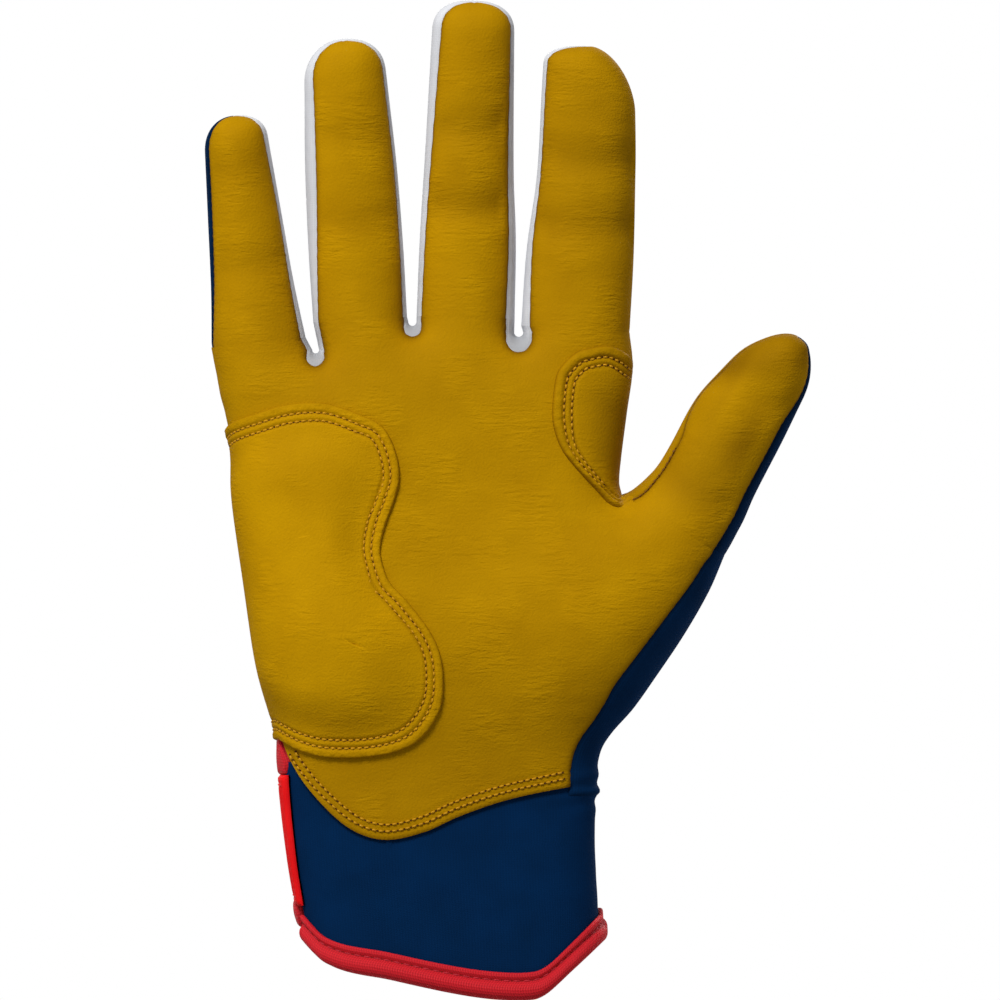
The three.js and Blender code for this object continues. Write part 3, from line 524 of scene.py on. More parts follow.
leather = gloveLeather()
stretchKnit = knitCloth("navy_stretch_knit", "#062a52", "#03182f", 0.8, 0.8)
cuffKnit = knitCloth("navy_neoprene_jersey", "#042850", "#031c38", 0.7, 0.78)
sideKnit = knitCloth("white_side_knit", "#dcdde1", "#c4c6ca", 0.7, 0.85)
# the side knit again with a darker deep colour, for painted shade where the webs face up
shadedWebKnit = knitCloth("white_side_knit_painted_shade", "#dcdde1", "#a9abaf", 0.7, 0.85)
strapCloth = knitCloth("red_strap_satin", "#fa1f20", "#d41016", 0.45, 0.5)
tape = bindingTape("crimson_binding", "#d9242e", "#8c101a", 0.62)
goldThread = plainFinish("gold_thread", "#d39c10", "#ab7804", 0.35, 0.6, 0.05)
redThread = plainFinish("crimson_thread", "#d03442", "#a01a28", 0.35, 0.6, 0.05)
brownThread = plainFinish("brown_thread", "#8a5a08", "#5c3604", 0.35, 0.7, 0.05)
strapThread = plainFinish("red_thread", "#ff3b3f", "#c8101a", 0.35, 0.55, 0.05)
# dark brown in the needle holes: painted shade
holeShade = plainFinish("needle_hole_painted_shade", "#5a2c06", "#3a1a02", 0.3, 0.9, 0.02)
loopPile = plainFinish("navy_loop_pile", "#0a2444", "#041225", 0.35, 0.95, 0.3)
hookField = plainFinish("grey_hook_field", "#54575c", "#35383c", 0.5, 0.7, 0.3)
print("materials made")


# puts arrays into a mesh object: points in millimetres, faces of four corners
def addMesh(name, points, quads, materials, normals=None, uv=None, shade=None, slots=None):
    mesh = bpy.data.meshes.new(name)
    corners = quads.ravel()
    mesh.vertices.add(len(points))
    mesh.vertices.foreach_set("co", (points * mm).astype(np.float32).ravel())
    mesh.loops.add(len(corners))
    mesh.loops.foreach_set("vertex_index", corners.astype(np.int32))
    mesh.polygons.add(len(quads))
    mesh.polygons.foreach_set("loop_start", np.arange(0, len(corners), 4, dtype=np.int32))
    if slots is not None:
        mesh.polygons.foreach_set("material_index", slots.astype(np.int32))
    if uv is not None:
        layer = mesh.uv_layers.new(name="UVMap")
        layer.data.foreach_set("uv", uv[corners].astype(np.float32).ravel())
    if shade is not None:
        tone = mesh.attributes.new("shade", "FLOAT", "POINT")
        tone.data.foreach_set("value", shade.astype(np.float32).ravel())
    for material in materials:
        mesh.materials.append(material)
    mesh.update(calc_edges=True)
    mesh.polygons.foreach_set("use_smooth", np.ones(len(quads), bool))
    if normals is not None:
        mesh.normals_split_custom_set_from_vertices(normals.tolist())
    piece = bpy.data.objects.new(name, mesh)
    bpy.context.scene.collection.objects.link(piece)
    return piece


# way out of a displaced grid: the cross product of its two slopes, or the form's own where that vanishes
def gridNormals(place, out):
    up, across = np.gradient(place, axis=0, edge_order=2), np.gradient(place, axis=1, edge_order=2)
    normal = np.cross(up, across)
    size = np.linalg.norm(normal, axis=2, keepdims=True)
    normal = np.where(size > 1e-7, normal / np.maximum(size, 1e-9), out)
    return normal * np.sign(np.sum(normal * out, axis=2, keepdims=True))


# a closed sheet from its outer and inner grids, with a rim all round; out tells which side is outer
def addShell(name, outer, inner, out, material, shade=0.0):
    rows, columns = outer.shape[:2]
    normal = gridNormals(outer, out).reshape(-1, 3)
    k = np.arange(rows * columns).reshape(rows, columns)
    low = k + rows * columns
    quads = np.concatenate([
        np.stack([k[:-1, :-1], k[:-1, 1:], k[1:, 1:], k[1:, :-1]], -1).reshape(-1, 4),
        np.stack([low[:-1, :-1], low[1:, :-1], low[1:, 1:], low[:-1, 1:]], -1).reshape(-1, 4),
        np.stack([k[:-1, 0], k[1:, 0], low[1:, 0], low[:-1, 0]], -1),
        np.stack([k[1:, -1], k[:-1, -1], low[:-1, -1], low[1:, -1]], -1),
        np.stack([k[0, 1:], k[0, :-1], low[0, :-1], low[0, 1:]], -1),
        np.stack([k[-1, :-1], k[-1, 1:], low[-1, 1:], low[-1, :-1]], -1),
    ])
    i, j = rows // 2, columns // 2
    if np.dot(np.cross(outer[i, j + 1] - outer[i, j], outer[i + 1, j] - outer[i, j]), out[i, j]) < 0:
        quads = quads[:, ::-1]
    run, rise = runLength(outer, 1), runLength(outer)
    uv = np.stack([run, rise], -1).reshape(-1, 2)
    shade = np.broadcast_to(shade, (rows, columns)).ravel()
    piece = addMesh(name, np.concatenate([outer.reshape(-1, 3), inner.reshape(-1, 3)]), quads, [material],
                    np.concatenate([normal, -normal]), np.tile(uv, (2, 1)), np.tile(shade, 2))
    cells = np.cross(np.diff(outer, axis=0)[:, :-1], np.diff(outer, axis=1)[:-1])
    piece["panelArea"] = float(np.linalg.norm(cells, axis=2).sum()) * mm * mm
    piece["panelSize"] = [float(run.max()) * mm, float(rise.max()) * mm]
    return piece


# the grid lifted along its way out, and the same grid a thickness lower
def addSheet(name, grid, lift, thick, material, shade=0.0):
    place, out = grid
    lift, thick = (np.broadcast_to(part, place.shape[:2])[..., None] for part in (lift, thick))
    outer = place + out * lift
    return addShell(name, outer, outer - out * thick, out, material, shade)


seam = dict(depth=0.4, width=0.7, pitch=2.1)
panelLook = dict(leatherThick=0.9, clothThick=1.0, stripThick=0.8, foldWidth=4.2, crossDepth=0.06,
                 blendLength=24.0, shadeWidth=1.1, shadeMost=0.75, shadeLimit=0.8, patina=0.11)


# bakes the piece's place into its mesh
def rideFinger(piece):
    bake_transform(piece)


# hides the CAD nodes that the piece stands for, then bakes a finger's piece or sets the piece under its body
def finishPiece(piece, nodes=(), body="hand"):
    if nodes:
        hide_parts(*nodes)
    if body in fingers:
        rideFinger(piece)
    elif body:
        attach(piece, body)


# a seam pulls both of its panels in: a narrow valley, deeper at each stitch
def seamDip(distance, along, pucker=0.15):
    stitch = 1 + pucker * np.cos(2 * np.pi * along / seam["pitch"])
    return -seam["depth"] * stitch * np.exp(-distance / seam["width"])


# painted shade in the valley of a seam
def seamShade(distance):
    return panelLook["shadeMost"] * np.exp(-distance / panelLook["shadeWidth"] * 1.6)


# soft valleys where the finger bends, and low cross wrinkles
def fingerFolds(s, q, f):
    lift = np.zeros_like(s)
    for fold in f["folds"]:
        lift -= f["foldDeep"] * bell(s - fold - 0.012 * q * q, panelLook["foldWidth"])
    wrinkle = noise(q / 7 + 3, s / 1.6, f["length"]) * ease(s / 6)
    return lift + panelLook["crossDepth"] * wrinkle


# painted shade on the thumb's palm side: most at its root, down a band right of its middle and at its tip
def thumbPaintedShade(s, q):
    band = 0.4 * bell(q - 4, 3.8) * bell(s - 27, 9)
    root, tip = 0.26 * ease(s / 12) * (1 - ease((s - 12) / 24)), 0.4 * ease((s - 37 - 0.6 * q) / 9)
    left = 0.12 * ease((-3 - q) / 3) * ease((s - 20) / 10)
    return mix(panelLook["patina"], 0.05, ease(s / 10)) + (root + band + tip + left) * ease((9.5 - q) / 4)


# painted shade on the other fingers: a base darkening, more at the middle and the tip, and on the palm side
# starting with the palm's painted shade at the crease
def fingerPaintedShade(f, s, edge, face):
    share = s / f["length"]
    paintedShade = f["patina"][0] + f["patina"][1] * bell(share - 0.55, 0.25) + 0.07 * ease((share - 0.78) / 0.2)
    if face > 0:
        return paintedShade
    return mix(panelLook["patina"] + 0.07 + 0.1 * np.exp(-edge / 6), paintedShade, ease(s / 14))


# a finger panel: valleys at its seams, folds on the side it faces only
def addFingerPanel(node, body, face, wrap, material, thick):
    f = fingers[body]
    place, out = grid = fingerGrid(f, face, wrap)
    s, q = fingerWays(f, place[..., 0], place[..., 2])
    folds = fingerFolds(s, q, f)
    top = runLength(place)
    edge = np.minimum(sideGap(place), np.where(wrap, 99, top[-1:] - top + 0.2))
    fade = ease(edge / 4)
    lift = seamDip(edge, s) + folds * fade * (out[..., 1] * face > 0.3)
    lift[0] -= 0.08
    # painted shade: the finger's darkening, the seam valleys and the fold valleys
    paintedShade = thumbPaintedShade(s, q) if body == "thumb" and face < 0 else fingerPaintedShade(f, s, edge, face)
    shade = np.clip(paintedShade + seamShade(edge) - 0.12 * np.minimum(folds, 0) * fade, 0, panelLook["shadeLimit"])
    finishPiece(addSheet(node + "_skin", grid, lift, thick, material, shade), [node], body)


# a strip over an edge, with painted shade by the share given where it faces up, and painted shade along its seams
def addSideStrip(node, body, line, material, thick, tone=0):
    place, out = grid = stripGrid(line, 8, fingers.get(body))
    edge = sideGap(place)
    lift = seamDip(edge, runLength(place), pucker=0.1)
    shade = tone * np.maximum(out[..., 2], 0) + 0.5 * np.exp(-edge / 0.5)
    finishPiece(addSheet(node + "_skin", grid, lift, thick, material, shade), [node], body)


wraps = [("pinky", -1, 0), ("ring", 0, 0), ("middle", 0, 0), ("index", 0, 1), ("thumb", 1, 0)]
for body, backWrap, palmWrap in wraps:
    addFingerPanel(body + "_palm", body, -1, palmWrap, leather, panelLook["leatherThick"])
    addFingerPanel(body + "_back", body, 1, backWrap, stretchKnit, panelLook["clothThick"])
sideStrips = [("pinky_fourchette", "pinky", "right"), ("ring_fourchette_ulnar", "ring", "left"),
              ("ring_fourchette_radial", "ring", "right"), ("middle_fourchette_ulnar", "middle", "left"),
              ("middle_fourchette_radial", "middle", "right"), ("index_fourchette", "index", "left")]
for node, body, side in sideStrips:
    addSideStrip(node, body, fingers[body][side], sideKnit, panelLook["stripThick"])
addSideStrip("thumb_gusset", "thumb", thumb["left"], leather, panelLook["leatherThick"], 0.4)
for web, line in zip(form["webs"], webLines):
    node = "web_" + web[0] + "_" + web[1]
    addSideStrip(node, "hand", line, shadedWebKnit, panelLook["stripThick"], 1.0)
print("fingers made")

# Navy strip up the thumb side, square to the edge, level at its foot and along the crease at its top
thenarStrip = dict(
    foot=48.5, count=90, back=3.6,
    fronts=[[48, 7.6], [57, 6.2], [63, 5.2], [70, 6.9], [77, 6.7], [88, 5.9], [97, 4.6], [102, 3.8], [106, 2.9]],
    foldHigh=0.5, foldPitch=4.8, foldMiddle=50.0, foldReach=4.2,
)


def thenarLine(spec):
    z = np.linspace(spec["foot"], thumbOuter[1], spec["count"])
    slope = (radial(z + 0.2) - radial(z - 0.2)) / 0.4
    square = np.stack([-1 / np.hypot(1, slope), slope / np.hypot(1, slope)])
    level = np.array([[-1.0], [0.0]])
    crease = -np.array([[thumb["acrossX"]], [thumb["acrossZ"]]])
    way = mix(level, square, ease((z - z[0]) / 7))
    way = mix(way, crease, ease((z - z[-1] + 9) / 9))
    way /= np.hypot(*way)
    front = mix(curve(spec["fronts"])(z), thumb["rightSeam"][0], ease((z - z[-1] + 4) / 4))
    return dict(x=radial(z), z=z, inX=way[0], inZ=way[1], front=front, back=np.full(len(z), spec["back"]))


# folds across the wrist: a wave in height that dies away from the wrist and from the edge
def wristFolds(x, z, spec):
    edge = np.abs(radial(z) - x)
    wave = np.sin(2 * np.pi * (z + 0.12 * edge) / spec["foldPitch"])
    return spec["foldHigh"] * wave * bell(z - spec["foldMiddle"], spec["foldReach"]) * np.exp(-edge / 9)


thenar = thenarLine(thenarStrip)
grid = stripGrid(thenar, 14)
x, _, z = np.moveaxis(grid[0], -1, 0)
rise = runLength(grid[0])
edge = np.minimum(sideGap(grid[0]), rise)
lift = seamDip(edge, z) + wristFolds(x, z, thenarStrip) - 0.7 * np.exp(-rise / 4)
# painted shade along the seams and the foot
shade = 0.4 * np.exp(-edge / 0.8)
piece = addSheet("thenar_side_skin", grid, lift, panelLook["clothThick"], stretchKnit, shade)
finishPiece(piece, ["thenar_side"])

# Palm leather and back of the hand
handPanels = dict(
    ulnarWraps=[[50, 1.2], [62, 1.3], [80, 4], [138, 4], [156, 0.8]],
    scallop=[[-42, 62.5], [-37.6, 55], [-31, 47.3], [-22.8, 40.6], [-14.6, 38.2], [-5, 40.1], [3.1, 43.7],
             [13.7, 47.3], [28.6, 50.6]],
    palmFootLeft=62.3, palmFootRight=50.7, sideInset=3.0, backInset=4.6, sideFoot=127.0,
    wristSeam=[[-42, 54.6], [24, 53.8], [38, 48.2]],
    crotchPalm=[(41.0, 121.0), (39.6, 124.0)], crotchBack=[(40.4, 121.2), (38.0, 124.4)],
    fanReach=14.0, creaseColumns=30, sideRows=62, creaseRows=16, indexRows=44,
    stitchRows=(2.0, 3.6), grooveDepth=0.25, grooveWidth=0.45,
)
ulnarWrap = curve(handPanels["ulnarWraps"])
scallop = curve(handPanels["scallop"])
wristSeam = curve(handPanels["wristSeam"])


# top edge of palm or back, left to right: along each crease and round each notch; also where it is a notch,
# and the lean with which columns leave it, so that they fan out from under each notch
def crownLine(face):
    x, z, notch, lean = [], [], [], []
    leans = [fall + turn for web, line in zip(form["webs"], webLines)
             for fall, turn in zip(line["falls"], web[2]["fans"])]
    leans = [0] + leans + [0]
    key = "front" if face < 0 else "back"
    for k, f in enumerate(longFingers):
        seams = (f["leftSeam"][0], f["rightSeam"][0]) if face < 0 else (f["backSeam"], f["backSeam"])
        first, last = f["roots"][0] + (0 if k == 0 else seams[0]), f["roots"][1] - (0 if k == 3 else seams[1])
        fx, fz = onFinger(f, np.linspace(first, last, handPanels["creaseColumns"]), 0)
        inside = slice(0 if k == 0 else 1, None if k == 3 else -1)
        x, z, notch = x + [fx[inside]], z + [fz[inside]], notch + [0 * fx[inside]]
        lean.append(np.linspace(leans[2 * k], leans[2 * k + 1], len(fx))[inside])
        for line in webLines[k:k + 1]:
            webX, webZ = inFrom(line, line[key])
            x, z, notch = x + [webX], z + [webZ], notch + [np.ones(len(webX))]
            legs = form["legCount"]
            around = np.clip((np.arange(len(webX)) - legs) / (len(webX) - 2 * legs - 1), 0, 1)
            lean.append(mix(leans[2 * k + 1], leans[2 * k + 2], around))
    return (np.concatenate(part) for part in (x, z, notch, lean))


# where the thumb's crease meets its inner seam
def thumbCorner(inset):
    return thumbInner[0] + thumb["acrossX"] * inset, thumbInner[1] + thumb["acrossZ"] * inset


# right edge, going up: the thenar seam, the thumb's crease, the crotch and the index side
def rightLine(face, footZ):
    key, inner, inset, crotch = (("front", thumb["leftSeam"][0], "sideInset", "crotchPalm") if face < 0
                                 else ("back", thumb["backSeam"], "backInset", "crotchBack"))
    sideX, sideZ = inFrom(thenar, thenar[key])
    low = np.linspace(footZ, sideZ[-1], handPanels["sideRows"])
    creaseX, creaseZ = thumbCorner(inner)
    up = np.linspace(handPanels["sideFoot"], indexRoot[1], 20)
    crotchX, crotchZ = np.array(handPanels[crotch]).T
    lineX = np.concatenate([np.interp(low, sideZ, sideX), [creaseX], crotchX, indexSide(up) - handPanels[inset]])
    lineZ = np.concatenate([low, [creaseZ], crotchZ, up])
    rows = np.concatenate([low, np.linspace(low[-1], creaseZ, handPanels["creaseRows"])[1:],
                           np.linspace(creaseZ, up[-1], handPanels["indexRows"])[1:]])
    return lineX, lineZ, rows


# a grid between four edges: height is a Coons patch, sideways place a share of the way from left to right edge
def handGrid(face, leftOf, foot, footLeft, footRight):
    lineX, lineZ, rows = rightLine(face, footRight)
    rightAt = lambda z: np.interp(z, lineZ, lineX)
    topZ = pinkyRoot[1]
    x, z, notch, lean = crownLine(face)
    keep = (x > leftOf(topZ) + 0.4) & (x < lineX[-1] - 0.4)
    ends = ((x, leftOf(topZ), lineX[-1]), (z, topZ, lineZ[-1]), (notch, 0, 0), (lean, 0, 0))
    x, z, notch, lean = (np.concatenate([[first], part[keep], [last]]) for part, first, last in ends)
    fan = lean * handPanels["fanReach"] * ease((x - x[0]) / 6) * ease((x[-1] - x) / 12)
    footX = np.linspace(leftOf(footLeft), rightAt(footRight), len(x))
    footZ = foot(footX)
    footZ += np.linspace(footLeft - footZ[0], footRight - footZ[-1], len(x)) * np.linspace(-1, 1, len(x)) ** 4
    shares = [(px - leftOf(pz)) / (rightAt(pz) - leftOf(pz)) for px, pz in ((footX, footZ), (x - fan, z))]
    u, v = np.linspace(0, 1, len(x)), np.linspace(0, 1, len(rows))[:, None]
    leftZ = mix(footLeft, topZ, v)
    corners = mix(mix(footZ[0], footZ[-1], u), mix(z[0], z[-1], u), v)
    gridZ = mix(leftZ, rows[:, None], u) + mix(footZ, z, v) - corners
    left = leftOf(gridZ)
    share = mix(shares[0], shares[1], v)
    soft = np.mean([rightAt(gridZ + step) for step in (-5, -3, -1, 1, 3, 5)], axis=0)  # rounds the thumb's corner
    gridX = left + share * (mix(soft, rightAt(gridZ), np.clip(share, 0, 1) ** 6) - left)
    gridX += fan * np.exp((gridZ - z) / handPanels["fanReach"])
    return gridX, gridZ, leftZ, notch


# a runs over the edge with nearly even spacing: the way in is a squared over (soft + a)
def wayOf(a, soft=32.0):
    return wayIn(a * a / (soft + np.abs(a)))


def runOf(way, soft=32.0):
    return (way + np.sqrt(way * way + 4 * soft * way)) / 2


# Heel pad: a second layer of leather over foam, sewn down with two rows
heelPad = dict(
    edge=[(-53.3, 136.1), (-46.5, 139.6), (-37.7, 142.1), (-28.6, 142.3), (-19.9, 139.4), (-14.9, 136.6),
          (-12, 131), (-11, 124.8), (-12.2, 119.3), (-14.2, 113.8), (-15.4, 109), (-15.4, 105.4), (-13.4, 99.8),
          (-8.9, 94.8), (-3.8, 88.1), (-1.2, 82.1), (-0.5, 75.8), (-1.4, 69.1), (-5.3, 62.9), (-10.8, 59.5),
          (-19.2, 57.8), (-28.6, 57.8), (-34.6, 59.3), (-39.8, 61.7)],
    behind=[(-10.0, 63.4), (-10.4, 82), (-10.4, 116), (-10.0, 134.4)],
    spine=((22, 78), (24, 126)), half=300, fine=900,
    edgeHigh=1.0, edgeRound=0.5, rim=0.12, rows=(2.5, 4.5), grooveDepth=0.35, grooveWidth=0.5,
    foamHigh=2.6, foamStart=4.4, foamReach=12.0, sunk=0.25, rollReach=13.0, ragged=0.13,
    rollDrops=[[52, 0], [60, 0.9], [69, 1.4], [77, 2.6], [83, 3.1], [92, 3.1], [105, 2.7], [125, 2.3],
               [134, 1.3], [140, 0.6], [145, 0], [150, 0]],
)


# palm and pad sink together where they roll over the ulnar edge, so that the pad doesn't widen the hand
def rollDrop(a, z):
    return -np.maximum(curve(heelPad["rollDrops"])(z), 0) * bell(a, heelPad["rollReach"])


def palmFolds(x, z):
    return 0.1 * noise(x / 16 + 5, z / 7, 3) + 0.05 * noise(x / 8, z / 2.2 + 9, 5)


leftOf = lambda z: ulnar(z) + ulnarWrap(z)
gridX, gridZ, leftZ, notch = handGrid(-1, leftOf, scallop, handPanels["palmFootLeft"],
                                      handPanels["palmFootRight"])
e = overEdge(9)[:-1]
turnX = ulnar(leftZ) + wayIn(ulnarWrap(leftZ) * e * e)
x = np.concatenate([turnX, gridX], axis=1)
z = np.concatenate([leftZ + 0 * e, gridZ], axis=1)
grid = skin(x, z, np.concatenate([np.where(e < 0, 1, -1) + 0 * turnX, -np.ones_like(gridX)], axis=1))
run = runLength(grid[0], 1)
notches = np.concatenate([evenly(np.stack(inFrom(line, line["front"]), 1), 120) for line in webLines])
notchEdge = lineDistance(x, z, *notches.T)
rightEdge = np.where(z < inFrom(thenar, thenar["front"])[1][-1] + 0.1, run[:, -1:] - run, 99)
seamEdge = np.minimum(np.minimum(notchEdge, rightEdge), run)
scallopX = np.linspace(-41, 30, 300)
foot = np.where(z < 76, lineDistance(x, z, scallopX, scallop(scallopX)), 99)
lift = seamDip(seamEdge, z) + palmFolds(x, z) * ease(seamEdge / 4) * ease((pinkyRoot[1] - z) / 8)
lift -= 0.35 * np.exp(-foot / 0.35)
lift += rollDrop(runOf(np.maximum(x - ulnar(z), 0)), z)
for row in handPanels["stitchRows"]:
    lift -= handPanels["grooveDepth"] * bell(foot - row, handPanels["grooveWidth"])
# painted shade: seam valleys, the foot edge, the lower palm, the top and near the finger notches, over the base
# darkening
shade = seamShade(seamEdge) + 0.35 * np.exp(-foot / 0.4) + panelLook["patina"]
shade += 0.14 * ease((78 - z) / 22) + 0.07 * ease((z - 125) / 20) + 0.1 * np.exp(-notchEdge / 6)
shade = np.clip(shade, 0, panelLook["shadeLimit"])
piece = addSheet("palm_leather_skin", grid, lift, panelLook["leatherThick"], leather, shade)
finishPiece(piece, ["palm_leather"])

# palm leather that turns over the index side, under the patch and above it
sideZ = np.linspace(126.5, indexRoot[1], 60)
upper = ease((sideZ - 150) / 9)
line = dict(x=indexSide(sideZ), z=sideZ, inX=mix(-1, -index["acrossX"], upper),
            inZ=mix(0, -index["acrossZ"], upper), front=np.full(len(sideZ), handPanels["sideInset"] + 0.02),
            back=mix(handPanels["backInset"], index["backSeam"], upper))
grid = stripGrid(line, 12)
piece = addSheet("palm_leather_turn", grid, 0, panelLook["leatherThick"], leather, panelLook["patina"])
finishPiece(piece)

backFoot = lambda x: wristSeam(x) + 0.3
leftOf = lambda z: ulnar(z) + ulnarWrap(z) + 0.1
gridX, gridZ, leftZ, notch = handGrid(1, leftOf, backFoot, backFoot(-42.0), thenarStrip["foot"])
grid = skin(gridX, gridZ, 1)
rise = runLength(grid[0])
seamEdge = np.minimum(np.minimum(sideGap(grid[0]), np.where(notch > 0.5, rise[-1:] - rise, 99)), rise)
lift = seamDip(seamEdge, gridZ) + wristFolds(gridX, gridZ, thenarStrip)
# painted shade along the seams
shade = 0.4 * np.exp(-seamEdge / 0.8)
piece = addSheet("back_panel_skin", grid, lift, panelLook["clothThick"], stretchKnit, shade)
finishPiece(piece, ["back_panel"])
print("hand made")


# closed smooth curve through points
def closedCurve(points, fine=40):
    t = np.arange(len(points) * fine) / fine
    i, k = t.astype(int), (t % 1)[:, None]
    a, b, c, d = (points[(i + step) % len(points)] for step in (-1, 0, 1, 2))
    return 0.5 * (2 * b + (c - a) * k + (2 * a - 5 * b + 4 * c - d) * k**2 + (3 * b - a - 3 * c + d) * k**3)


def onUlnarRoll(a, z, lift=0):
    place, out = skin(ulnar(z) + wayOf(a), z, np.where(a > 0, -1.0, 1.0))
    return place + out * np.asarray(lift)[..., None], out


def rowGrooves(d, spec):
    return sum(bell(d - row, spec["grooveWidth"]) for row in spec["rows"])


# height of a sewn-on layer over the leather below, by the distance from its edge
def layerLift(d, spec, deep=None):
    deep = d if deep is None else deep
    edge = spec["edgeHigh"] * rounded(d / spec["edgeRound"])
    rim = spec["rim"] * np.sin(np.pi * np.clip(d / spec["rows"][0], 0, 1))
    foam = spec["foamHigh"] * ease((deep - spec["foamStart"]) / spec["foamReach"])
    return edge + rim + foam - spec["grooveDepth"] * rowGrooves(d, spec)


# painted shade at a layer's edge and in the grooves of its stitch rows
def layerShade(d, spec):
    return np.clip(0.45 * np.exp(-d / 0.5) + 0.25 * rowGrooves(d, spec), 0, panelLook["shadeLimit"])


# rings from the edge in to a line down the middle; left and right halves share that line
def addHeelPad(spec):
    half = spec["half"]
    edge = np.array(spec["edge"])
    front = np.stack([runOf(np.maximum(edge[:, 0] - ulnar(edge[:, 1]), 0.0)), edge[:, 1]], axis=1)
    loop = closedCurve(np.concatenate([front, spec["behind"]]))
    spineFoot, spineTop = np.array(spec["spine"], float)
    low = np.argmin(np.where(np.abs(loop[:, 0] - spineFoot[0]) < 3, loop[:, 1], 999))
    loop = np.roll(loop, -low, axis=0)
    high = np.argmax(np.where(np.abs(loop[:, 0] - spineTop[0]) < 3, loop[:, 1], -999))
    upward = evenly(loop[:high + 1], half + 1)
    downward = evenly(np.concatenate([loop[high:], loop[:1]]), half + 1)
    rim = np.concatenate([upward, downward[1:-1]])
    last = np.concatenate([np.arange(half + 1), np.arange(half - 1, 0, -1)])
    ray = mix(spineFoot, spineTop, (last / half)[:, None]) - rim
    length = np.linalg.norm(ray, axis=1)
    way = ray / length[:, None]
    tangent = np.roll(rim, -1, axis=0) - np.roll(rim, 1, axis=0)
    tangent /= np.linalg.norm(tangent, axis=1, keepdims=True)
    square = np.abs(tangent[:, 0] * ray[:, 1] - tangent[:, 1] * ray[:, 0]) / length
    fine = np.concatenate([[0, 0.08, 0.2, 0.4, 0.7, 1.0], np.arange(1.3, 7.4, 0.35)])
    rest = np.linspace(0, 1, 20)[1:]
    r = np.concatenate([fine[:, None] + 0 * length, 7.2 + rest[:, None] * (length - 7.2)])
    spots = rim + way * r[..., None]
    a, z = spots[..., 0], spots[..., 1]
    line = evenly(loop, spec["fine"]).T
    d = mix(r * square, lineDistance(a, z, *line), ease((r - 2) / 4))
    lift = layerLift(d, spec, smoothDistance(a, z, *line))
    lift += spec["ragged"] * noise(a / 0.7, z / 0.7, 4) * ease((3 - d) / 2) * ease(d / 0.3)
    outer, out = onUlnarRoll(a, z, lift + rollDrop(a, z))
    inner = outer - out * (lift + spec["sunk"])[..., None]
    # painted shade at the edge, in the grooves, toward the pad's top, over the ulnar edge and round the back
    shade = layerShade(d, spec) + 0.09 * ease((z - 116) / 14) * ease((d - 4) / 3)
    shade += 0.14 * bell(a, 11) + 0.07 * ease((-34 - a) / 9)
    rings, around = r.shape
    k = np.arange((rings - 1) * around).reshape(rings - 1, around)
    k = np.concatenate([k, (rings - 1) * around + last[None]])
    count = k.max() + 1
    side = np.roll(k, -1, axis=1)
    top = np.stack([k[:-1], side[:-1], side[1:], k[1:]], -1).reshape(-1, 4)
    wall = np.stack([k[0], k[0] + count, side[0] + count, side[0]], -1)
    quads = np.concatenate([top, top[:, ::-1] + count, wall])
    if np.dot(np.cross(outer[0, 1] - outer[0, 0], outer[3, 0] - outer[0, 0]), out[0, 0]) < 0:
        quads = quads[:, ::-1]
    once = lambda g: np.concatenate([g[:-1].reshape(-1, g.shape[2]), g[-1, :half + 1]])  # the shared line once
    piece = addMesh("heel_pad_overlay_skin", np.concatenate([once(outer), once(inner)]), quads, [leather], None,
                    np.tile(once(spots), (2, 1)), np.tile(once(shade[..., None]), (2, 1)))
    rows = []
    for row in spec["rows"]:
        at = rim + way * (row / square)[:, None]
        lift = layerLift(np.full(len(at), row), spec) + rollDrop(at[:, 0], at[:, 1])
        rows.append([np.concatenate([part, part[:1]]) for part in onUlnarRoll(at[:, 0], at[:, 1], lift)])
    return piece, rows


heelPiece, heelRows = addHeelPad(heelPad)
finishPiece(heelPiece, ["heel_pad_overlay", "heel_pad_foam"])

# Index patch: rays fan from the index side to its D-shaped edge, then run through the crotch to the gusset
indexPatch = dict(
    rays=[(153.0, 44.4, 153.4), (151.8, 42.2, 154.9), (150.0, 38.5, 156.2), (148.3, 33.8, 155.5),
          (146.8, 30.7, 154.3), (144.5, 27.1, 150.5), (142.3, 25.9, 146.4), (138.5, 25.4, 139.5),
          (135.0, 26.2, 134.9), (132.0, 28.0, 130.8), (128.8, 31.2, 126.7), (125.2, 35.3, 122.2),
          (122.4, 38.5, 118.8), (120.7, 41.0, 117.5), (120.55, 42.9, 118.1)],
    backTurn=[[0, 180], [10, 180], [11, 200], [12, 225], [13, 262], [14, 295], [15, 329.5]],
    backReach=[[0, 4.6], [10, 4.6], [11, 4.4], [12, 3.6], [13, 3.2], [14, 3.3], [15, 3.6]],
    rowsPerRay=11, edgeHigh=1.05, edgeRound=0.8, rim=0.35, rows=(2.75, 4.6), grooveDepth=0.4, grooveWidth=0.5,
    foamHigh=0.0, foamStart=5.0, foamReach=4.0, sunk=0.2, lapAcross=0.8, lastStitch=11.2,
)


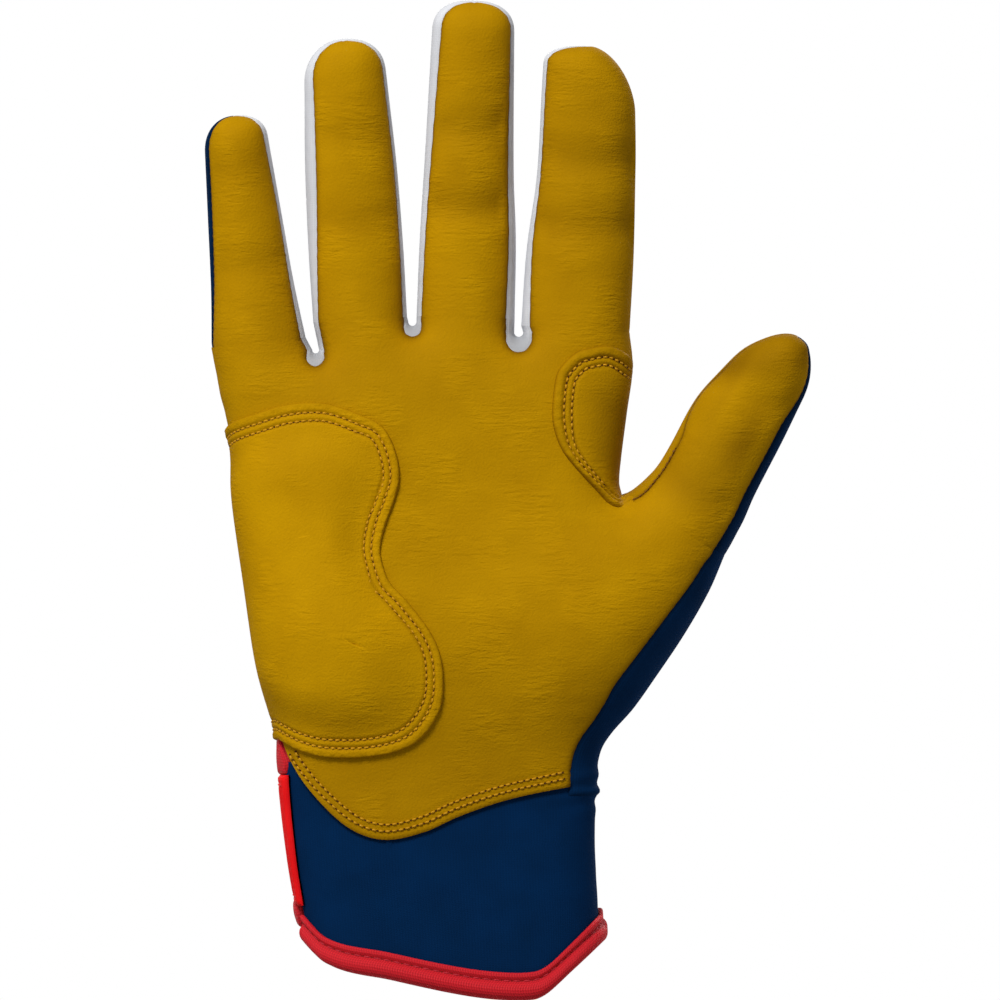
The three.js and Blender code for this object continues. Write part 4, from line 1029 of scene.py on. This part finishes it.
def addIndexPatch(spec):
    rays = np.array(spec["rays"] + [(thumbInner[1],) + thumbCorner(thumb["leftSeam"][0])])
    p = np.linspace(0, len(rays) - 1, (len(rays) - 1) * spec["rowsPerRay"] + 1)
    sideZ, edgeX, edgeZ = (curve(np.stack([np.arange(len(rays)), rays[:, k]], 1))(p) for k in range(3))
    side = np.stack([indexSide(sideZ), sideZ])[..., None]
    edge = np.stack([edgeX, edgeZ])[..., None]
    narrowing = lambda p: 1 + 1.4 * ease((p - 7) / 5)  # the flange narrows to a welt at the crotch
    nearSide = lambda x, z: 1 - 0.9 * np.exp(-np.abs(x - indexSide(z)) / 1.5)
    fromEdge = np.concatenate([[0, 0.1, 0.25, 0.45, 0.7, 1.0], np.arange(1.35, 6.2, 0.35),
                               np.arange(6.6, 14, 1.0), [14.6, 15.4, 16.0, 16.4, 16.7, 16.87, 16.96]])
    w = 1 - fromEdge / 17
    e = overEdge(8)[8:]
    angle = np.radians(curve(spec["backTurn"])(p))
    behind = np.stack([np.cos(angle), np.sin(angle)])[..., None]
    reach = curve(spec["backReach"])(p)[:, None] * e * e
    spots = np.concatenate([side + (edge - side) * w, side + behind * reach], 2)
    faces = np.concatenate([-np.ones_like(w), np.ones_like(e)]) + 0 * spots[0]
    near = np.exp(-(((spots - side) ** 2).sum(axis=0) / 0.36))[..., None]
    lap = ease(p - len(rays) + 2)[:, None]  # its end laps over the gusset
    x = spots[0] + lap * (thumb["axisX"] + spec["lapAcross"] * thumb["acrossX"])
    z = spots[1] + lap * (thumb["axisZ"] + spec["lapAcross"] * thumb["acrossZ"])
    place, out = skin(x, z, faces)
    straight = -np.stack([np.cos(angle), 0 * angle, np.sin(angle)], 1)[:, None]  # the way out at the side
    out = mix(out, straight, near)
    out /= np.linalg.norm(out, axis=-1, keepdims=True)
    edge = edge[..., 0].T
    d = lineDistance(x, z, *evenly(edge, 500).T)
    run = runLength(place, 1)
    d = np.where(faces < 0, np.where(d < 0.6, np.minimum(d, run), d), np.minimum(run[:, -1:] - run, 6))
    d = d * narrowing(p)[:, None]
    flat = 1 - ease((p - 12.6) / 2.2)[:, None]
    lift = layerLift(d, spec) * nearSide(x, z) * flat
    lift += 0.12 * noise(x / 1.2, z / 1.2, 6) * ease((5 - d) / 3) * ease(d / 0.6)
    lift = lift * flat * ease(p[:, None] / 0.8) + (1 - flat) * (0.1 + seamDip(sideGap(place), run))
    # painted shade at the edge and grooves, growing inward toward the index side, over the base darkening
    shade = layerShade(d, spec) + panelLook["patina"] + (0.05 + 0.22 * ease((d - 5) / 9)) * (faces < 0)
    thick = lift + spec["sunk"] + 0.3 * (1 - flat)
    piece = addSheet("index_patch_skin", (place, out), lift, thick, leather, shade)
    early = np.arange(-14, 0) / spec["rowsPerRay"]  # the rows go on to the side
    edge = np.concatenate([edge[0] + early[:, None] * (edge[spec["rowsPerRay"]] - edge[0]), edge])
    p = np.concatenate([early, p])
    rows = []
    for row in spec["rows"]:
        at = edge + leftward(edge) * row / narrowing(p)[:, None]
        x, z = at[(at[:, 0] < indexSide(at[:, 1]) - 0.4) & (p < spec["lastStitch"])].T
        place, out = skin(x, z, -1)
        lift = 0.08 + nearSide(x, z) * layerLift(np.full(len(x), row), spec)
        rows.append((place + out * lift[:, None], out))
    return piece, rows


patchPiece, patchRows = addIndexPatch(indexPatch)
finishPiece(patchPiece, ["index_patch"])
print("pads made")

# Cuff of neoprene under the leather, its hem tape, and the slit on the ulnar side
cuff = dict(
    hemPalm=[[-36, 16.0], [-29, 8.5], [-13.7, 5.0], [2.6, 1.6], [13, 0.3], [21, 0.4], [24.5, 2.0], [30.5, 7.1],
             [37.4, 13.0], [40, 15]],
    hemBack=[[-36, 15.4], [-18, 13], [2, 12.5], [20, 13], [38, 15]],
    sink=1.2, thick=1.6, foot=1.2, lap=2.0, slitFront=1.6, slitBack=7.0, turn=12.0, rows=50,
    hemLevel=12.0, lapLevel=50.0, tapeThick=0.85, tapeGroove=4.45,
    tape=[(-1.05, 6.3), (-0.4, 6.4), (-0.05, 6.15), (0.05, 5.6), (0.0, 5.1), (-0.25, 4.75), (-0.42, 4.45),
          (-0.2, 4.1), (0.3, 3.65), (0.75, 3.0), (0.95, 2.2), (0.85, 1.4), (0.5, 0.65), (-0.1, 0.15),
          (-1.0, -0.12), (-2.0, -0.18), (-3.0, -0.1), (-3.8, 0.25), (-4.2, 1.0), (-4.25, 2.0), (-4.05, 3.2),
          (-3.8, 4.4), (-3.5, 5.4), (-3.0, 6.1)],
)

# columns round the cuff: shares of the palm, of the turn over the radial side and of the back
columns = [np.linspace(0, 1, 70)[:-1], overEdge(20), np.linspace(1, 0, 64)[1:]]
share = np.concatenate(columns)
faces = np.concatenate([-np.ones_like(columns[0]), np.sign(columns[1]), np.ones_like(columns[2])])
turning = np.concatenate([0 * columns[0], 1 + 0 * columns[1], 0 * columns[2]]) > 0
slit = np.where(faces < 0, cuff["slitFront"], cuff["slitBack"])


def cuffX(z):
    right = radial(z)
    level = mix(ulnar(z) + slit, right - cuff["turn"], share)
    return np.where(turning, right - wayIn(cuff["turn"] * share * share), level)


hemX = cuffX(cuff["hemLevel"])
hem = np.where(faces < 0, curve(cuff["hemPalm"])(hemX), curve(cuff["hemBack"])(hemX))
lapZ = wristSeam(cuffX(cuff["lapLevel"])) + cuff["lap"]
z = mix(hem + cuff["foot"], lapZ, np.linspace(0, 1, cuff["rows"])[:, None])
x = cuffX(z)
place, out = skin(x, z, faces)
lift = -cuff["sink"] + wristFolds(x, z, thenarStrip) + 0.12 * noise(x / 13, z / 6 + 4, 8)
turned = len(columns[0]) + len(columns[1])
for node, part in (("cuff_palm", slice(0, turned)), ("cuff_back", slice(turned - 1, None))):
    piece = addSheet(node + "_skin", (place[:, part], out[:, part]), lift[:, part], cuff["thick"], cuffKnit)
    finishPiece(piece, [node])

# the tape's profile, out from the cuff and up it, swept along the hem
profile = np.array(cuff["tape"])
inward = leftward(profile)
inward *= -np.sign(inward[2, 0]) * cuff["tapeThick"]
z = hem + profile[:, 1:]
place, out = skin(cuffX(z), z, faces)
outer = place + out * profile[:, :1, None]
inner = outer + out * inward[:, :1, None] + np.array([0.0, 0.0, 1.0]) * inward[:, 1:, None]
# painted shade in the stitch groove
groove = 0.5 * bell(profile[:, 1:] - cuff["tapeGroove"], 0.35) * (profile[:, :1] > -1)
piece = addShell("hem_binding_skin", outer, inner, outer - inner, tape, groove)
finishPiece(piece, ["hem_binding"])
grooveRow = int(np.argmin(np.abs(profile[:12, 1] - cuff["tapeGroove"])))
hemRow = outer[grooveRow], out[grooveRow]

# Crimson tape ends over the slit, above and below the strap; the front reach follows the leather's edge
slitTapes = dict(top=dict(low=53.2, high=62.6, raised=0.1, fronts=[[0, 2.2], [0.3, 2.7], [0.65, 1.5], [1, 0.6]]),
                 foot=dict(low=16.6, high=23.6, raised=0.3, fronts=[[0, 0.7], [0.5, 1.1], [1, 0.9]]),
                 back=7.0, puff=0.5, thick=0.9, edgeRound=1.3)


def addSlitTape(name, spec):
    z = np.linspace(spec["low"], spec["high"], 26)
    v = np.linspace(0, 1, len(z))
    line = dict(x=ulnar(z), z=z, inX=np.ones_like(z), inZ=np.zeros_like(z), front=curve(spec["fronts"])(v),
                back=np.full(len(z), slitTapes["back"]))
    grid = stripGrid(line, 12)
    edge = rimGap(grid[0])
    thick = slitTapes["thick"]
    high = thick + slitTapes["puff"] * np.sin(np.pi * v)[:, None]
    lift = spec["raised"] - 2 * thick + high * rounded(edge / slitTapes["edgeRound"])
    # painted shade round the tape's rounded edge
    return addSheet(name, grid, lift, thick, tape, 0.3 * np.exp(-edge / 0.5))


finishPiece(addSlitTape("slit_top_binding_skin", slitTapes["top"]), ["slit_top_binding"])
finishPiece(addSlitTape("slit_foot_tape", slitTapes["foot"]))

# Closure strap round the ulnar side and across the back, with hook, loop and pull tab
strap = dict(
    low=22.2, high=53.4, front=3.1, narrow=0.885, reach=56.0, corner=7.0, thick=1.4, rowInset=2.4,
    lifts=[[0, -2.2], [5, -0.9], [10, -0.6], [20, 0.1], [24, 1.8], [80, 1.8]],
    loop=dict(start=25.0, end=62.0, low=25.2, high=50.4, base=-0.9, thick=1.1, corner=3.0, edgeRound=0.8),
    hook=dict(start=29.0, end=53.0, low=25.2, high=50.4, base=0.5, thick=1.0, corner=3.0, edgeRound=0.5),
    tab=dict(start=52.0, end=65.0, low=28.2, high=47.4, base=3.3, thick=1.2, corner=6.0, edgeRound=0.9),
)


# a strip round the ulnar edge: rows up it, columns by run over the edge, rounded at its far end
def strapGrid(start, end, low, high, corner, rows, columns):
    a = np.linspace(start, end, columns)
    past = np.clip((a - end + corner) / corner, 0, 1)
    half = (high - low) / 2 - corner + corner * np.sqrt(1 - past * past) + 0.02
    v = np.linspace(-1, 1, rows)[:, None]
    a = np.where(a < 0, a * mix(strap["narrow"], 1, (v + 1) / 2), a)
    return -a, (low + high) / 2 + half * v


# the band less an inset all round
def bandGrid(inset, rows, columns):
    return strapGrid(-runOf(strap["front"]), runOf(strap["reach"]), strap["low"] + inset, strap["high"] - inset,
                     strap["corner"] - inset, rows, columns)


# the band's underside over the form: on the back it rides on hook and loop, on the palm side it is sewn down
def strapUnder(a):
    return np.where(a < 0, np.minimum(curve(strap["lifts"])(wayOf(a)), 1.8), -2.2 + 1.3 * ease(a / 10))


def edgeDrop(edge, width, deep):
    return deep * (rounded(edge / width) - 1)


a, z = bandGrid(0, 44, 110)
grid = onUlnarRoll(a, z)
edge = rimGap(grid[0])
thick = strap["thick"] + edgeDrop(edge, 0.9, 0.6)
lift = strapUnder(a) + thick - 0.25 * bell(edge - strap["rowInset"], 0.4)
# painted shade round the band's rounded edge
strapPiece = addSheet("strap_band_skin", grid, lift, thick, strapCloth, 0.3 * np.exp(-edge / 0.4))
finishPiece(strapPiece, ["strap_band"], body=None)
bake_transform(strapPiece)


def addPatch(node, spec, material, body):
    a, z = strapGrid(runOf(spec["start"]), runOf(spec["end"]), spec["low"], spec["high"], spec["corner"], 40, 60)
    grid = onUlnarRoll(a, z)
    thick = spec["thick"] + edgeDrop(rimGap(grid[0]), spec["edgeRound"], spec["thick"] * 0.6)
    finishPiece(addSheet(node + "_skin", grid, spec["base"] + thick, thick, material), [node], body)


addPatch("loop_patch", strap["loop"], loopPile, "hand")
addPatch("hook_patch", strap["hook"], hookField, "strap")
addPatch("strap_pull_tab", strap["tab"], tape, "strap")
print("cuff and strap made")


# Stitches: a low arched capsule of six sides for each, and a small dish at each needle hole, dark with painted
# shade
def stitchShape(length, radius):
    along = np.array([-1, -0.62, 0, 0.62, 1])
    size, arch = np.array([0.35, 0.9, 1, 0.9, 0.35]), np.array([-0.7, 0.15, 0.5, 0.15, -0.7])
    turn = np.arange(6) * np.pi / 3
    x = np.repeat(along * length / 2, 6)
    y = np.outer(size, np.cos(turn)).ravel() * radius
    up = (np.outer(size, np.sin(turn)) + arch[:, None]).ravel() * radius
    k = np.arange(30).reshape(5, 6)
    side = np.roll(k, -1, axis=1)
    quads = np.stack([k[:-1], k[1:], side[1:], side[:-1]], -1).reshape(-1, 4)
    caps = np.array([[0, 1, 2, 3], [0, 3, 4, 5], [24, 27, 26, 25], [24, 29, 28, 27]])
    return np.stack([x, y, up], 1), np.concatenate([quads, caps])


def holeShape(radius):
    turn = np.arange(8) * np.pi / 4
    ring = np.stack([np.cos(turn) * radius, np.sin(turn) * radius * 0.8, np.full(8, 0.06)], 1)
    foot = ring * np.array([1, 1, 0]) - np.array([0, 0, 0.25])
    k = np.arange(8)
    n = np.roll(k, -1)
    caps = [[0, 1, 2, 3], [0, 3, 4, 7], [4, 5, 6, 7], [11, 10, 9, 8], [15, 12, 11, 8], [15, 14, 13, 12]]
    return np.concatenate([ring, foot]), np.concatenate([np.stack([n, n + 8, k + 8, k], 1), caps])


def addStitches(name, rows, thread, pitch=1.6, length=1.25, radius=0.27, hole=0.25):
    points, quads, slots, count = [], [], [], 0
    for line, out in rows:
        run = runLength(line)
        number = int(run[-1] / pitch)
        pick = lambda table, t: np.stack([np.interp(t, run, table[:, k]) for k in range(3)], 1)
        for shape, at, slot in ((stitchShape(length, radius), np.arange(number) + 0.5, 0),
                                (holeShape(hole), np.arange(number + 1), 1)):
            at = at * run[-1] / number
            way = pick(line, np.minimum(at + 0.3, run[-1])) - pick(line, np.maximum(at - 0.3, 0))
            way /= np.linalg.norm(way, axis=1, keepdims=True)
            side = np.cross(pick(out, at), way)
            side /= np.linalg.norm(side, axis=1, keepdims=True)
            axes = np.stack([way, side, np.cross(way, side)], 1)
            local, corners = shape
            points.append((pick(line, at)[:, None] + np.einsum("vk,nkc->nvc", local, axes)).reshape(-1, 3))
            quads.append((corners + (count + np.arange(len(at)) * len(local))[:, None, None]).reshape(-1, 4))
            slots.append(np.full(len(quads[-1]), slot))
            count += len(points[-1])
    return addMesh(name, np.concatenate(points), np.concatenate(quads), [thread, holeShade],
                   slots=np.concatenate(slots))


inner = {key: part[:24] for key, part in thumb["left"].items()}
place, out = skin(*inFrom(inner, inner["front"]), -1, thumb)
rideFinger(addStitches("thumb_seam_stitches", [(place - out * 0.3, out)], brownThread))
scallopLine = np.stack([scallopX, scallop(scallopX)], 1)[8:-5]
scallopRows = []
for row in handPanels["stitchRows"]:
    place, out = skin(*(scallopLine + leftward(scallopLine) * row).T, -1)
    scallopRows.append((place - out * 0.05, out))
for node, rows in (("heel_pad", heelRows), ("index_patch", patchRows), ("palm_edge", scallopRows)):
    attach(addStitches(node + "_stitches", rows, goldThread), "hand")
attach(addStitches("hem_stitches", [hemRow], redThread, 2.4, 1.8, 0.18, 0.14), "hand")
a, z = (part[:, 4:-4] for part in bandGrid(strap["rowInset"], 3, 160))
strapRows = [onUlnarRoll(a[k], z[k], strapUnder(a[k]) + strap["thick"] - 0.2) for k in (0, 2)]
strapStitches = addStitches("strap_stitches", strapRows, strapThread, 2.4, 1.8, 0.2, 0.2)
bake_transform(strapStitches)
print("stitches made")

# Stage: a white floor that keeps a soft shadow near the glove and turns to plain white farther out
stage = dict(floor=-0.025, side=3.0, near=0.08, far=0.18, paper="#fafafa", bounce="#8c8c8c", world=0.2,
             aim=(0, 0, 0.12),
             lamps=[("key", (-0.38, -0.76, 0.97), 0.4, 13.4), ("fill", (-1.0, -0.5, 0.2), 0.8, 1.7),
                    ("rim", (1.1, -0.12, 0.25), 0.6, 1.4), ("back", (0.5, 1.1, 0.8), 0.7, 8.0)])


# 1 for rays that show the background: from the camera, or by way of a gloss or a clear piece
def seenRay(tree):
    path = addNode(tree, "LightPath").outputs
    seen = calc(tree, "MAXIMUM", path["Is Camera Ray"], path["Is Glossy Ray"])
    return calc(tree, "MAXIMUM", seen, path["Is Transmission Ray"])


def floorFinish():
    material, tree, shader = newMaterial("paper_sweep")
    spot = addNode(tree, "TexCoord").outputs["Object"]
    level = addNode(tree, "VectorMath", {"operation": "MULTIPLY"}, {0: spot, 1: (1, 1, 0)})
    far = addNode(tree, "VectorMath", {"operation": "LENGTH"}, {0: level}).outputs["Value"]
    share = addNode(tree, "MapRange", {"interpolation_type": "SMOOTHSTEP"},
                    {"Value": far, "From Min": stage["near"], "From Max": stage["far"]})
    paper = mixColour(tree, seenRay(tree), stage["bounce"], stage["paper"])
    feed(tree, shader, {"Base Color": paper, "Roughness": 0.9})
    white = addNode(tree, "Emission", None, {"Color": (1, 1, 1, 1), "Strength": 1.0})
    shown = calc(tree, "MULTIPLY", share, seenRay(tree))
    blend = addNode(tree, "MixShader", None, {0: shown, 1: shader, 2: white})
    feed(tree, tree.nodes["Material Output"], {"Surface": blend})
    return material


square = np.array([[-1, -1, 0], [1, -1, 0], [1, 1, 0], [-1, 1, 0]]) * stage["side"] + [0, 0, stage["floor"]]
floor = addMesh("floor", square / mm, np.array([[0, 1, 2, 3]]), [floorFinish()])
scene = bpy.context.scene
scene.world = bpy.data.worlds.new("studio")
scene.world.use_nodes = True
tree = scene.world.node_tree
tree.nodes.clear()
strength = remap(tree, seenRay(tree), 0.0, 1.0, stage["world"], 1.0)
background = addNode(tree, "Background", None, {"Color": (1, 1, 1, 1), "Strength": strength})
addNode(tree, "OutputWorld", None, {"Surface": background})

for name, place, size, power in stage["lamps"]:
    lamp = bpy.data.lights.new(name, "AREA")
    lamp.size, lamp.energy = size, power
    holder = bpy.data.objects.new(name, lamp)
    way = np.array(stage["aim"]) - np.array(place)
    turn = math.atan2(-way[0], way[1])
    holder.rotation_euler = (math.acos(-way[2] / np.linalg.norm(way)), 0, turn)
    holder.location = place
    scene.collection.objects.link(holder)
camera = bpy.data.cameras.new("camera")
camera.lens, camera.sensor_width = 420, 36
eye = bpy.data.objects.new("camera", camera)
eye.location = (0.01296, -2.8, 0.1193)
eye.rotation_euler = (math.pi / 2, 0, 0)
scene.collection.objects.link(eye)
scene.camera = eye
scene.view_settings.view_transform = "Standard"
print("stage made")
